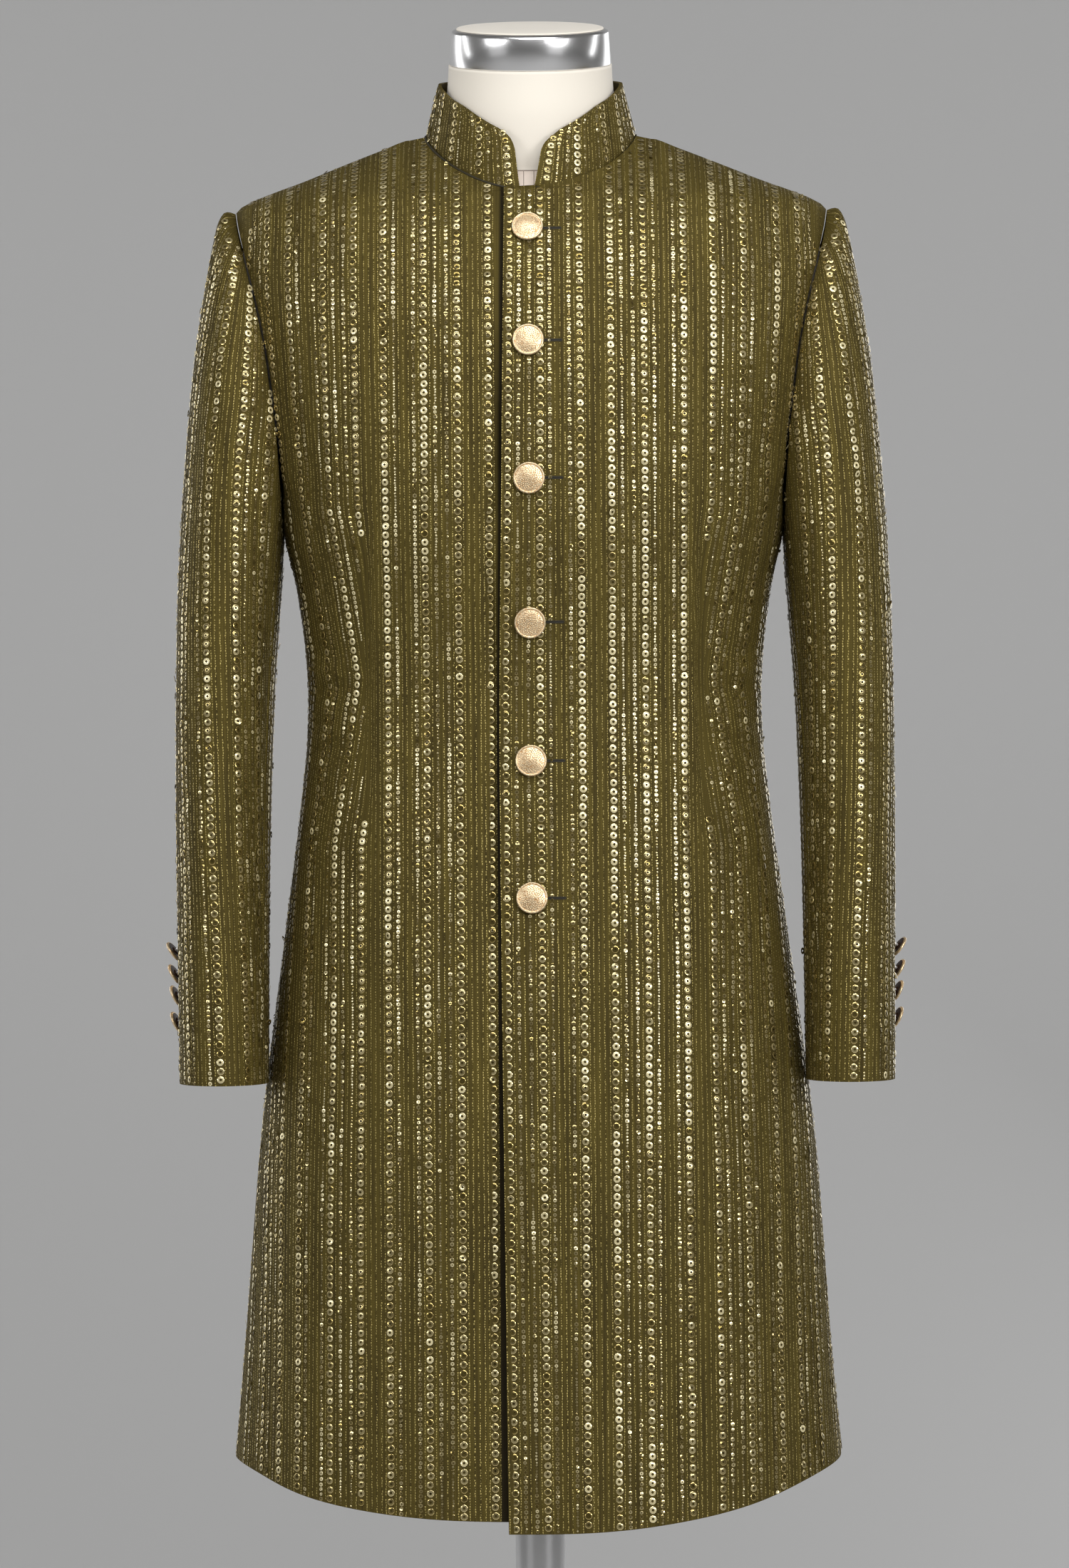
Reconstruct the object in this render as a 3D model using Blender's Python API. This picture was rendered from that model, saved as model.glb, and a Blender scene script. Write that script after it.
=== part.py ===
"""Long coat with a standing collar, worn by a limbless dress form on a round stand.

Metres, +Z up. The front faces -Y, and the wearer's left is at +X. The origin is on the
floor, under the pole.
"""

import math
from collections import namedtuple

import bmesh
import bpy
from mathutils import Vector

# Driving dimensions
WALL = 0.0020           # coat cloth, with its interlining
SEAM = 0.0004           # parting between two sewn pieces
REST = 0.0003           # parting between a piece and what carries it
HEM_Z = 0.495           # hem at the side seams
COLLAR_WALL = 0.0024
LAP_LIFT = 0.0027       # how far the lapping front stands off the other one
NECK_RADIUS = 0.0636
NECK_TOP_RADIUS = 0.0616
NECK_LEAN = math.radians(12.0)
POLE_RADIUS = 0.019
BASE_RADIUS = 0.200
BASE_THICKNESS = 0.006

# Body
# Level sections of the coat's outer surface: half width, depth in front of the side
# seams and behind them, and the power of the rounded section.
Section = namedtuple("Section", "z half front back power")
BODY = [
    Section(0.4400, 0.2335, 0.1680, 0.1790, 2.25),
    Section(0.4950, 0.2286, 0.1630, 0.1730, 2.25),
    Section(0.5520, 0.2232, 0.1565, 0.1660, 2.25),
    Section(0.6060, 0.2188, 0.1500, 0.1590, 2.25),
    Section(0.6600, 0.2150, 0.1445, 0.1525, 2.25),
    Section(0.7140, 0.2110, 0.1400, 0.1475, 2.25),
    Section(0.7680, 0.2056, 0.1355, 0.1425, 2.25),
    Section(0.8220, 0.1990, 0.1310, 0.1360, 2.25),
    Section(0.8760, 0.1917, 0.1250, 0.1280, 2.25),
    Section(0.9300, 0.1844, 0.1190, 0.1170, 2.25),
    Section(0.9840, 0.1774, 0.1135, 0.1035, 2.30),
    Section(1.0380, 0.1720, 0.1090, 0.0930, 2.30),
    Section(1.0650, 0.1712, 0.1080, 0.0905, 2.30),     # waist
    Section(1.0920, 0.1723, 0.1095, 0.0915, 2.30),
    Section(1.1460, 0.1790, 0.1180, 0.1010, 2.30),
    Section(1.1870, 0.1885, 0.1250, 0.1095, 2.30),     # underarm
    Section(1.2400, 0.1990, 0.1280, 0.1165, 2.30),
    Section(1.3000, 0.2090, 0.1265, 0.1210, 2.30),
    Section(1.3600, 0.2175, 0.1190, 0.1205, 2.30),
    Section(1.4000, 0.2215, 0.1090, 0.1160, 2.25),
    Section(1.4250, 0.2232, 0.0975, 0.1110, 2.15),
    Section(1.4340, 0.2235, 0.0925, 0.1085, 2.05),     # shoulder tip
    Section(1.4400, 0.2152, 0.0885, 0.1065, 2.00),
    Section(1.4480, 0.1963, 0.0787, 0.1035, 2.00),
    Section(1.4560, 0.1744, 0.0686, 0.1000, 2.00),
    Section(1.4640, 0.1547, 0.0568, 0.0960, 2.00),
    Section(1.4725, 0.1336, 0.0440, 0.0910, 2.00),
    Section(1.4810, 0.1120, 0.0288, 0.0850, 2.00),
    Section(1.4890, 0.0915, 0.0120, 0.0785, 2.00),
    Section(1.4905, 0.0797, 0.0060, 0.0770, 2.00),     # neck point
    Section(1.4970, 0.0765, 0.0060, 0.0710, 2.00),
    Section(1.5030, 0.0730, 0.0060, 0.0655, 2.00),
]
UNDERARM_Z = 1.187
TIP_Z = 1.434

# Armhole seam: its share of the half width at each height, the same in front and behind.
Armhole = namedtuple("Armhole", "z share")
ARMHOLE = [
    Armhole(1.187, 1.000),
    Armhole(1.196, 0.989),
    Armhole(1.210, 0.974),
    Armhole(1.240, 0.953),
    Armhole(1.272, 0.940),
    Armhole(1.322, 0.938),
    Armhole(1.355, 0.948),
    Armhole(1.385, 0.968),
    Armhole(1.410, 0.987),
    Armhole(1.425, 0.997),
    Armhole(1.434, 1.000),
]

# Neckline: half width, and heights at the front, the shoulder and the nape.
NECKLINE_HALF = 0.0797
NECKLINE_FRONT_Z = 1.4415
NECKLINE_SIDE_Z = 1.4905
NECKLINE_NAPE_Z = 1.5040

# Collar's upper edge, seen from above.
COLLAR_TOP_HALF = 0.0694
COLLAR_TOP_DEPTH = 0.0648
COLLAR_TOP_Y = -0.0122
# Height of the standing band, by the angle from centre front
CollarRise = namedtuple("CollarRise", "angle rise")
COLLAR_RISES = [
    CollarRise(0.0, 0.0345),
    CollarRise(7.0, 0.0360),
    CollarRise(21.0, 0.0435),
    CollarRise(43.0, 0.0456),
    CollarRise(62.0, 0.0420),
    CollarRise(90.0, 0.0388),
    CollarRise(180.0, 0.0360),
]
COLLAR_END_LEFT = (1.8, 7.0)        # degrees from the front, at the seam and the top
COLLAR_END_RIGHT = (6.1, 10.4)

# Fronts: x of the lapping edge by height, and of the underlap's edge.
LapEdge = namedtuple("LapEdge", "z x")
LAP_EDGE = [
    LapEdge(0.44, -0.0220),
    LapEdge(0.78, -0.0250),
    LapEdge(1.02, -0.0260),
    LapEdge(1.24, -0.0230),
    LapEdge(1.44, -0.0200),
]
UNDERLAP_X = 0.030
LAP_FLAT_X = 0.033                  # the lift ends between these two
LAP_END_X = 0.060

# Hem: how far it dips at the middle of a piece, and how sharply it rises to the side.
Dip = namedtuple("Dip", "depth power")
HEM_DIP_LEFT = Dip(0.0425, 2.1)
HEM_DIP_RIGHT = Dip(0.0335, 2.6)
HEM_DIP_BACK = Dip(0.030, 3.0)
HEM_FADE_Z = 0.74                   # above this a row of the panel is level

# Sleeve: rings from the armhole to the cuff, seen from the front.
Ring = namedtuple("Ring", "share outer_x outer_z inner_x inner_z middle_y depth")
SLEEVE = [
    Ring(0.00, 0.2240, 1.4342, 0.1890, 1.1868, 0.000, 0.0560),
    Ring(0.03, 0.2310, 1.4352, 0.1898, 1.1790, 0.000, 0.0610),
    Ring(0.07, 0.2370, 1.4275, 0.1903, 1.1690, -0.001, 0.0650),
    Ring(0.12, 0.2410, 1.4110, 0.1906, 1.1570, -0.002, 0.0675),
    Ring(0.20, 0.2480, 1.3720, 0.1920, 1.1370, -0.004, 0.0690),
    Ring(0.30, 0.2562, 1.3150, 0.1940, 1.1090, -0.006, 0.0690),
    Ring(0.40, 0.2625, 1.2480, 0.1962, 1.0780, -0.008, 0.0675),
    Ring(0.50, 0.2668, 1.1850, 0.1980, 1.0350, -0.012, 0.0650),
    Ring(0.60, 0.2695, 1.1200, 0.1995, 0.9880, -0.017, 0.0625),
    Ring(0.70, 0.2703, 1.0450, 0.2005, 0.9380, -0.024, 0.0600),
    Ring(0.80, 0.2704, 0.9620, 0.2010, 0.8860, -0.031, 0.0575),
    Ring(0.90, 0.2690, 0.8700, 0.2012, 0.8320, -0.038, 0.0550),
    Ring(1.00, 0.2682, 0.7775, 0.2014, 0.7775, -0.045, 0.0530),
]
CAP_SHARE = 0.25                    # how far down the armhole's outline is still felt
FRONT_SEAM = 155.0                  # degrees from the outer edge, over the front
BACK_SEAM_TOP = -60.0
BACK_SEAM_CUFF = 4.0

# Buttons
FRONT_BUTTON_Z = [1.4100, 1.3265, 1.2255, 1.1200, 1.0168, 0.9155]
FRONT_BUTTON_X = -0.003
FRONT_BUTTON_RADIUS = 0.0117
CuffButton = namedtuple("CuffButton", "z tilt")     # tilt: how far its top leans out
CUFF_BUTTONS = [
    CuffButton(0.8798, 34.0),
    CuffButton(0.8618, 30.0),
    CuffButton(0.8446, 25.0),
    CuffButton(0.8246, 24.0),
]
CUFF_BUTTON_RADIUS = 0.0088
CUFF_BUTTON_ANGLE = -24.0           # degrees round the sleeve, behind its outer edge
Turn = namedtuple("Turn", "radius height")      # as shares of the button's radius
BUTTON_PROFILE = [
    Turn(0.22, 0.000),
    Turn(0.22, 0.110),
    Turn(0.80, 0.130),
    Turn(1.00, 0.220),
    Turn(1.00, 0.310),
    Turn(0.92, 0.380),
    Turn(0.82, 0.340),
    Turn(0.74, 0.320),
    Turn(0.40, 0.430),
]
BUTTON_CROWN = 0.460

# Dress form
FORM_EASE = 0.0012                  # from the cloth's inside, at the shoulders
FORM_DROP = 0.0060                  # added to it below the chest
FORM_LOOSE_Z = 1.330
FORM_CLOSE_Z = 1.400
FORM_HEM_Z = 0.840
NECK_BASE = Vector((0.0, 0.002, 1.440))
NECK_TOP = 0.105                    # along the leaning neck
BAND_RADIUS = 0.0611
BAND_TOP_RADIUS = 0.0594
BAND_HEIGHT = 0.0262
LID_RADIUS = 0.0556
BAND_ROUNDING = 0.0030
LID_HEIGHT = 0.0012

# Stand
BASE_EDGE = 0.0015
FLANGE_RADIUS = 0.040
FLANGE_TOP = (0.026, 0.010)         # radius and height where its slope meets the sleeve
FLANGE_EDGE = 0.005
POLE_SLEEVE = (0.024, 0.045)        # radius and height of the sleeve's top

# Mesh
SHARP_ANGLE = math.radians(40.0)
TURN_STEP = 1.5                     # degrees, and metres: how far a normal looks around
RISE_STEP = 0.001
FORM_SEGMENTS = 28
BAND_SEGMENTS = 36
POLE_SEGMENTS = 32
BASE_SEGMENTS = 48


def value(rows, key, column, at):
    """Read one column of a table at any key, on a smooth curve with no overshoot."""
    keys = [getattr(row, key) for row in rows]
    data = [getattr(row, column) for row in rows]
    if at <= keys[0]:
        return data[0]
    if at >= keys[-1]:
        return data[-1]
    slopes = [(data[i + 1] - data[i]) / (keys[i + 1] - keys[i]) for i in range(len(keys) - 1)]

    def tangent(i):
        if i == 0:
            return slopes[0]
        if i == len(keys) - 1:
            return slopes[-1]
        before, after = slopes[i - 1], slopes[i]
        if before * after <= 0.0:
            return 0.0
        return 2.0 * before * after / (before + after)

    i = max(n for n in range(len(keys) - 1) if keys[n] <= at)
    step = keys[i + 1] - keys[i]
    u = (at - keys[i]) / step
    return (
        data[i] * (1 + 2 * u) * (1 - u) ** 2
        + data[i + 1] * u * u * (3 - 2 * u)
        + step * (tangent(i) * u * (1 - u) ** 2 + tangent(i + 1) * u * u * (u - 1))
    )


def smooth_step(low, high, at):
    u = min(1.0, max(0.0, (at - low) / (high - low)))
    return u * u * (3.0 - 2.0 * u)


def signed_power(base, power):
    return math.copysign(abs(base) ** power, base)


def section(z):
    return Section(z, *(value(BODY, "z", name, z) for name in Section._fields[1:]))


def body_point(turn, z):
    """Point of the coat at a turn from centre front: 90 is the +X side, 180 the back."""
    cut = section(z)
    sine = math.sin(math.radians(turn))
    cosine = math.cos(math.radians(turn))
    depth = cut.front if cosine > 0.0 else cut.back
    x = cut.half * signed_power(sine, 2.0 / cut.power)
    y = -depth * signed_power(cosine, 2.0 / cut.power)
    return Vector((x, y, z))


def body_normal(turn, z):
    """Outward normal, from the points around, alike on both sides of a seam."""
    along = body_point(turn + TURN_STEP, z) - body_point(turn - TURN_STEP, z)
    upward = body_point(turn, z + RISE_STEP) - body_point(turn, z - RISE_STEP)
    return along.cross(upward).normalized()


def turn_at_x(x, z, behind=False):
    cut = section(z)
    sine = signed_power(max(-1.0, min(1.0, x / cut.half)), cut.power / 2.0)
    turn = math.degrees(math.asin(sine))
    return 180.0 - turn if behind else turn


def turn_beside_seam(z, offset):
    """Turn of the point that lies offset in front of (or, if negative, behind) the side."""
    cut = section(z)
    depth = cut.front if offset > 0.0 else cut.back
    cosine = signed_power(offset / depth, cut.power / 2.0)
    return math.degrees(math.acos(cosine))


def armhole_turn(z):
    """Turn of the armhole seam, in front; behind, it is 180 less this."""
    return turn_at_x(section(z).half * value(ARMHOLE, "z", "share", z), z)


def outer_turn(z):
    """Where a front ends: at the armhole, or at the side or shoulder seam."""
    at_seam = turn_beside_seam(z, SEAM / 2.0)
    if UNDERARM_Z < z < TIP_Z:
        return min(at_seam, armhole_turn(z))
    return at_seam


def neckline_x(z):
    """Half width of the neckline at a height, in front and at the nape."""
    if z < NECKLINE_SIDE_Z:
        share = (z - NECKLINE_FRONT_Z) / (NECKLINE_SIDE_Z - NECKLINE_FRONT_Z)
        cosine = (math.sqrt(9.0 - 8.0 * share) - 1.0) / 2.0
    else:
        cosine = (z - NECKLINE_SIDE_Z) / (NECKLINE_NAPE_Z - NECKLINE_SIDE_Z)
    return NECKLINE_HALF * math.sqrt(max(0.0, 1.0 - cosine * cosine))


def neckline_z(angle):
    cosine = math.cos(math.radians(angle))
    if cosine > 0.0:
        share = 1.0 - (cosine + cosine * cosine) / 2.0
        return NECKLINE_FRONT_Z + (NECKLINE_SIDE_Z - NECKLINE_FRONT_Z) * share
    return NECKLINE_SIDE_Z - (NECKLINE_NAPE_Z - NECKLINE_SIDE_Z) * cosine


def lap_lift(x):
    """The lapping front stands off over the underlap and comes back beyond it."""
    return LAP_LIFT * (1.0 - smooth_step(LAP_FLAT_X, LAP_END_X, x))


def hem_shift(turn, z, dip):
    """How far the dip of the hem lowers a row that is level higher up."""
    sideways = abs(math.sin(math.radians(turn)))
    fade = 1.0 - smooth_step(HEM_Z, HEM_FADE_Z, z)
    return -dip.depth * (1.0 - sideways ** dip.power) * fade


def principled(name, colour, roughness, metallic=0.0):
    material = bpy.data.materials.new(name)
    material.use_nodes = True
    shader = material.node_tree.nodes["Principled BSDF"]
    shader.inputs["Base Color"].default_value = (*colour, 1.0)
    shader.inputs["Roughness"].default_value = roughness
    shader.inputs["Metallic"].default_value = metallic
    material.diffuse_color = (*colour, 1.0)
    return material


def add_object(name, bm, finish):
    bmesh.ops.triangulate(bm, faces=bm.faces)
    bmesh.ops.recalc_face_normals(bm, faces=bm.faces)
    if bm.calc_volume(signed=True) < 0.0:
        bmesh.ops.reverse_faces(bm, faces=bm.faces)
    mesh = bpy.data.meshes.new(name)
    bm.to_mesh(mesh)
    bm.free()
    mesh.shade_smooth()
    mesh.set_sharp_from_angle(angle=SHARP_ANGLE)
    mesh.materials.append(principled(name, *finish))
    thing = bpy.data.objects.new(name, mesh)
    bpy.context.collection.objects.link(thing)
    return thing


def wall(name, outer, inner, finish):
    """Close two matching grids of points into one cloth wall."""
    bm = bmesh.new()
    rows, columns = len(outer), len(outer[0])
    skins = [[[bm.verts.new(p) for p in row] for row in grid] for grid in (outer, inner)]
    for skin in skins:
        for i in range(rows - 1):
            for j in range(columns - 1):
                bm.faces.new((skin[i][j], skin[i][j + 1], skin[i + 1][j + 1], skin[i + 1][j]))
    border = [(0, j) for j in range(columns)]
    border += [(i, columns - 1) for i in range(1, rows)]
    border += [(rows - 1, j) for j in range(columns - 2, -1, -1)]
    border += [(i, 0) for i in range(rows - 2, 0, -1)]
    for (i, j), (k, m) in zip(border, border[1:] + border[:1]):
        bm.faces.new((skins[0][i][j], skins[0][k][m], skins[1][k][m], skins[1][i][j]))
    return add_object(name, bm, finish)


def tower(name, rings, finish):
    """Close a stack of equal rings of points with a flat or domed end at each end."""
    bm = bmesh.new()
    loops = [[bm.verts.new(p) for p in ring] for ring in rings]
    for low, high in zip(loops, loops[1:]):
        for j in range(len(low)):
            k = (j + 1) % len(low)
            bm.faces.new((low[j], low[k], high[k], high[j]))
    bm.faces.new(loops[0])
    bm.faces.new(loops[-1])
    return add_object(name, bm, finish)


CLOTH = ((0.112, 0.088, 0.030), 0.75)
BUTTON_METAL = ((0.72, 0.50, 0.36), 0.30, 1.0)
FORM_CLOTH = ((0.80, 0.74, 0.66), 0.80)
CHROME = ((0.72, 0.72, 0.73), 0.12, 1.0)
STEEL = ((0.62, 0.62, 0.63), 0.30, 1.0)


def front_rows():
    """Heights of a front panel's rows, with one at each button."""
    skirt = [0.495, 0.550, 0.620, 0.690, 0.760, 0.830, 0.9155, 0.965, 1.0168]
    chest = [1.065, 1.120, 1.187, 1.205, 1.2255, 1.280, 1.3265, 1.380, 1.410]
    shoulder = [1.422, 1.434, 1.4411, 1.4424, 1.4445, 1.4480, 1.4560, 1.4640, 1.4725]
    return skirt + chest + shoulder + [1.4810, 1.4880]


def front(name, side, dip):
    """A front panel: side 1 is the lapping front, side -1 the one below it."""
    outer, inner = [], []
    spread = [0.00, 0.06, 0.13, 0.21, 0.30, 0.40, 0.50, 0.60, 0.70, 0.80, 0.90, 1.00]
    for z in front_rows():
        if z > NECKLINE_FRONT_Z:
            start = turn_at_x(neckline_x(z), z)
        elif side > 0:
            start = turn_at_x(value(LAP_EDGE, "z", "x", z), z)
        else:
            start = turn_at_x(-UNDERLAP_X, z)
        end = outer_turn(z)
        row_out, row_in = [], []
        for share in spread:
            turn = start + (end - start) * share
            level = z + hem_shift(turn, z, dip)
            at = side * turn
            normal = body_normal(at, level)
            point = body_point(at, level)
            lift = lap_lift(point.x) if side > 0 else 0.0
            row_out.append(point + normal * lift)
            row_in.append(point + normal * (lift - WALL))
        outer.append(row_out)
        inner.append(row_in)
    return wall(name, outer, inner, CLOTH)


def back_rows():
    return front_rows()[:-1] + [1.4870, 1.4905, 1.4960, 1.5015]


def back():
    outer, inner = [], []
    columns = 16
    for z in back_rows():
        start = turn_beside_seam(z, -SEAM / 2.0)
        if UNDERARM_Z < z < TIP_Z:
            start = max(start, 180.0 - armhole_turn(z))
        if z > NECKLINE_SIDE_Z:
            start = turn_at_x(neckline_x(z), z, behind=True)
        row_out, row_in = [], []
        for n in range(columns + 1):
            turn = start + (360.0 - 2.0 * start) * n / columns
            level = z + hem_shift(turn, z, HEM_DIP_BACK)
            point = body_point(turn, level)
            row_out.append(point)
            row_in.append(point - body_normal(turn, level) * WALL)
        outer.append(row_out)
        inner.append(row_in)
    return wall("back", outer, inner, CLOTH)


def armhole_point(angle):
    """The armhole seam as a loop, by the same angle as the sleeve's rings."""
    middle = (TIP_Z + UNDERARM_Z) / 2.0
    z = middle + (TIP_Z - UNDERARM_Z) / 2.0 * math.cos(math.radians(angle))
    turn = armhole_turn(z)
    if math.sin(math.radians(angle)) < 0.0:
        turn = 180.0 - turn
    return body_point(turn, z) + Vector((SEAM, 0.0, 0.0))


def ring_point(angle, share):
    ring = Ring(share, *(value(SLEEVE, "share", name, share) for name in Ring._fields[1:]))
    outer = Vector((ring.outer_x, ring.middle_y, ring.outer_z))
    inner = Vector((ring.inner_x, ring.middle_y, ring.inner_z))
    turn = math.radians(angle)
    across = (outer - inner) / 2.0 * math.cos(turn)
    return (outer + inner) / 2.0 + across - Vector((0.0, ring.depth * math.sin(turn), 0.0))


def sleeve_point(angle, share):
    """Point of the +X sleeve: angle 0 is its outer edge, 90 its front, 180 its inner edge."""
    fade = 1.0 - smooth_step(0.0, CAP_SHARE, share)
    return ring_point(angle, share) + (armhole_point(angle) - ring_point(angle, 0.0)) * fade


def sleeve_normal(angle, share):
    low, high = max(0.0, share - 0.01), min(1.0, share + 0.01)
    around = sleeve_point(angle + 2.0, share) - sleeve_point(angle - 2.0, share)
    down = sleeve_point(angle, high) - sleeve_point(angle, low)
    return around.cross(down).normalized()


def seam_angle(point_gap, angle, share):
    """Move an angle by a distance along the ring."""
    step = (sleeve_point(angle + 1.0, share) - sleeve_point(angle - 1.0, share)).length / 2.0
    return angle + point_gap / step


def back_seam(share):
    return BACK_SEAM_TOP + (BACK_SEAM_CUFF - BACK_SEAM_TOP) * smooth_step(0.0, 0.9, share)


def sleeve_half(name, side, columns, first, last):
    """Half of a two-piece sleeve between two seams, given as angles by share."""
    shares = [0.0, 0.03, 0.07, 0.12, 0.19, 0.27, 0.36, 0.45, 0.54, 0.63, 0.72, 0.81, 0.90, 1.0]
    outer, inner = [], []
    for share in shares:
        start = seam_angle(SEAM / 2.0, first(share), share)
        end = seam_angle(-SEAM / 2.0, last(share), share)
        row_out, row_in = [], []
        for n in range(columns + 1):
            angle = start + (end - start) * n / columns
            point = sleeve_point(angle, share)
            deeper = point - sleeve_normal(angle, share) * WALL
            row_out.append(Vector((side * point.x, point.y, point.z)))
            row_in.append(Vector((side * deeper.x, deeper.y, deeper.z)))
        outer.append(row_out)
        inner.append(row_in)
    return wall(name, outer, inner, CLOTH)


def sleeve(word, side):
    def front_seam(share):
        return FRONT_SEAM

    def next_back_seam(share):
        return back_seam(share) + 360.0

    sleeve_half("top_sleeve_" + word, side, 12, back_seam, front_seam)
    sleeve_half("under_sleeve_" + word, side, 10, front_seam, next_back_seam)


def collar_point(angle, rise):
    """Outer surface of the band: rise 0 is its seam, 1 its upper edge."""
    z = neckline_z(angle)
    x = NECKLINE_HALF * math.sin(math.radians(angle))
    behind = math.cos(math.radians(angle)) < 0.0
    turn = turn_at_x(x, z, behind)
    foot = body_point(turn, z)
    if x > 0.0 and not behind:
        foot += body_normal(turn, z) * lap_lift(x)
    top = Vector((
        COLLAR_TOP_HALF * math.sin(math.radians(angle)),
        COLLAR_TOP_Y - COLLAR_TOP_DEPTH * math.cos(math.radians(angle)),
        z + value(COLLAR_RISES, "angle", "rise", min(angle % 360.0, -angle % 360.0)),
    ))
    seam = 2.0 * SEAM / (top - foot).length
    return foot.lerp(top, seam + (1.0 - seam) * rise)


def collar():
    outer, inner = [], []
    columns = 40
    for rise in (0.0, 0.5, 1.0):
        start = COLLAR_END_LEFT[0] + (COLLAR_END_LEFT[1] - COLLAR_END_LEFT[0]) * rise
        end = 360.0 - COLLAR_END_RIGHT[0] - (COLLAR_END_RIGHT[1] - COLLAR_END_RIGHT[0]) * rise
        row_out, row_in = [], []
        for n in range(columns + 1):
            angle = start + (end - start) * n / columns
            point = collar_point(angle, rise)
            around = collar_point(angle + 1.0, rise) - collar_point(angle - 1.0, rise)
            upward = collar_point(angle, 1.0) - collar_point(angle, 0.0)
            row_out.append(point)
            row_in.append(point - around.cross(upward).normalized() * COLLAR_WALL)
        outer.append(row_out)
        inner.append(row_in)
    return wall("collar", outer, inner, CLOTH)


def button(name, foot, axis, radius, segments, shank=0.0):
    """A turned shank button: foot is the end of its shank, axis points off the cloth."""
    tilt = axis.to_track_quat("Z", "Y")
    bm = bmesh.new()
    loops = []
    for number, turn in enumerate(BUTTON_PROFILE):
        loop = []
        for n in range(segments):
            angle = math.tau * n / segments
            spot = Vector((math.cos(angle), math.sin(angle), 0.0)) * turn.radius * radius
            spot.z = turn.height * radius + (shank if number else 0.0)
            loop.append(bm.verts.new(foot + tilt @ spot))
        loops.append(loop)
    for low, high in zip(loops, loops[1:]):
        for j in range(segments):
            k = (j + 1) % segments
            bm.faces.new((low[j], low[k], high[k], high[j]))
    bm.faces.new(loops[0])
    crown_height = BUTTON_CROWN * radius + shank
    crown = bm.verts.new(foot + tilt @ Vector((0.0, 0.0, crown_height)))
    for j in range(segments):
        bm.faces.new((loops[-1][j], loops[-1][(j + 1) % segments], crown))
    return add_object(name, bm, BUTTON_METAL)


def front_buttons():
    for number, z in enumerate(FRONT_BUTTON_Z, start=1):
        turn = turn_at_x(FRONT_BUTTON_X, z)
        normal = body_normal(turn, z)
        foot = body_point(turn, z) + normal * (LAP_LIFT + REST)
        button("front_button_%d" % number, foot, normal, FRONT_BUTTON_RADIUS, 16)


def share_at_height(angle, z):
    """Share of the sleeve's length at which this angle reaches a height."""
    low, high = 0.5, 1.0
    for _ in range(30):
        middle = (low + high) / 2.0
        if sleeve_point(angle, middle).z > z:
            low = middle
        else:
            high = middle
    return low


def cuff_buttons(word, side):
    radius = CUFF_BUTTON_RADIUS
    for number, row in enumerate(CUFF_BUTTONS, start=1):
        share = share_at_height(CUFF_BUTTON_ANGLE, row.z)
        normal = sleeve_normal(CUFF_BUTTON_ANGLE, share)
        sine, cosine = math.sin(math.radians(row.tilt)), math.cos(math.radians(row.tilt))
        axis = normal * cosine + Vector((0.0, 0.0, -sine))
        foot = sleeve_point(CUFF_BUTTON_ANGLE, share)
        foot += normal * (REST + BUTTON_PROFILE[0].radius * radius * sine)
        shank = (radius * sine + 2.0 * REST) / cosine - BUTTON_PROFILE[2].height * radius
        foot.x *= side
        axis.x *= side
        name = "cuff_button_%s_%d" % (word, number)
        button(name, foot, axis.normalized(), radius, 12, shank)


def neck_ring(along):
    """A ring that is level low on the neck and leans as the neck does higher up."""
    radius = NECK_RADIUS + (NECK_TOP_RADIUS - NECK_RADIUS) * smooth_step(0.070, NECK_TOP, along)
    axis = Vector((0.0, -math.sin(NECK_LEAN), math.cos(NECK_LEAN)))
    middle = NECK_BASE + axis * along
    lean = NECK_LEAN * smooth_step(0.02, 0.09, along)
    ring = []
    for n in range(FORM_SEGMENTS):
        heading = math.tau * n / FORM_SEGMENTS
        across = radius * math.cos(heading)
        ring.append(middle + Vector((
            radius * math.sin(heading),
            -across * math.cos(lean),
            -across * math.sin(lean),
        )))
    return ring


def turn_at_heading(heading, z, middle_y):
    """Turn of the coat's point that lies at a plan heading from the neck's middle."""
    low, high = 0.0, 180.0
    for _ in range(30):
        turn = (low + high) / 2.0
        point = body_point(turn, z)
        if math.degrees(math.atan2(point.x, middle_y - point.y)) < heading:
            low = turn
        else:
            high = turn
    return (low + high) / 2.0


def torso_ring(z, shrink=1.0):
    """One ring just inside the cloth, kept outside the neck where it reaches in that far."""
    ease = WALL + FORM_EASE + FORM_DROP * (1.0 - smooth_step(FORM_LOOSE_Z, FORM_CLOSE_Z, z))
    middle_y = min(NECK_BASE.y, NECK_BASE.y - (z - NECK_BASE.z) * math.tan(NECK_LEAN))
    half = []
    for n in range(FORM_SEGMENTS // 2 + 1):
        turn = turn_at_heading(360.0 * n / FORM_SEGMENTS, z, middle_y)
        point = body_point(turn, z) - body_normal(turn, z) * ease
        middle = Vector((0.0, middle_y))
        plan = point.xy - middle
        if z > TIP_Z and plan.length < NECK_RADIUS:
            point.xy = middle + plan.normalized() * NECK_RADIUS
        point.xy *= shrink
        half.append(point)
    mirrored = [Vector((-point.x, point.y, point.z)) for point in half[-2:0:-1]]
    return half + mirrored


def form_torso():
    """Torso below the shoulders, then the neck, as one stack of rings."""
    low = [torso_ring(FORM_HEM_Z, 0.80), torso_ring(FORM_HEM_Z, 0.93)]
    for ring, z in zip(low, (FORM_HEM_Z, FORM_HEM_Z + 0.005)):
        for point in ring:
            point.z = z
    heights = [0.862, 0.900, 0.960, 1.020, 1.065, 1.110, 1.160, 1.210, 1.260, 1.310]
    heights += [1.355, 1.395, 1.415, 1.427, 1.4340, 1.4411, 1.4480, 1.4560, 1.4640, 1.4725]
    heights += [1.4810]
    rings = low + [torso_ring(z) for z in heights]
    for along in (0.046, 0.064, 0.080, 0.096, NECK_TOP):
        rings.append(neck_ring(along))
    return tower("form_torso", rings, FORM_CLOTH)


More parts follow.
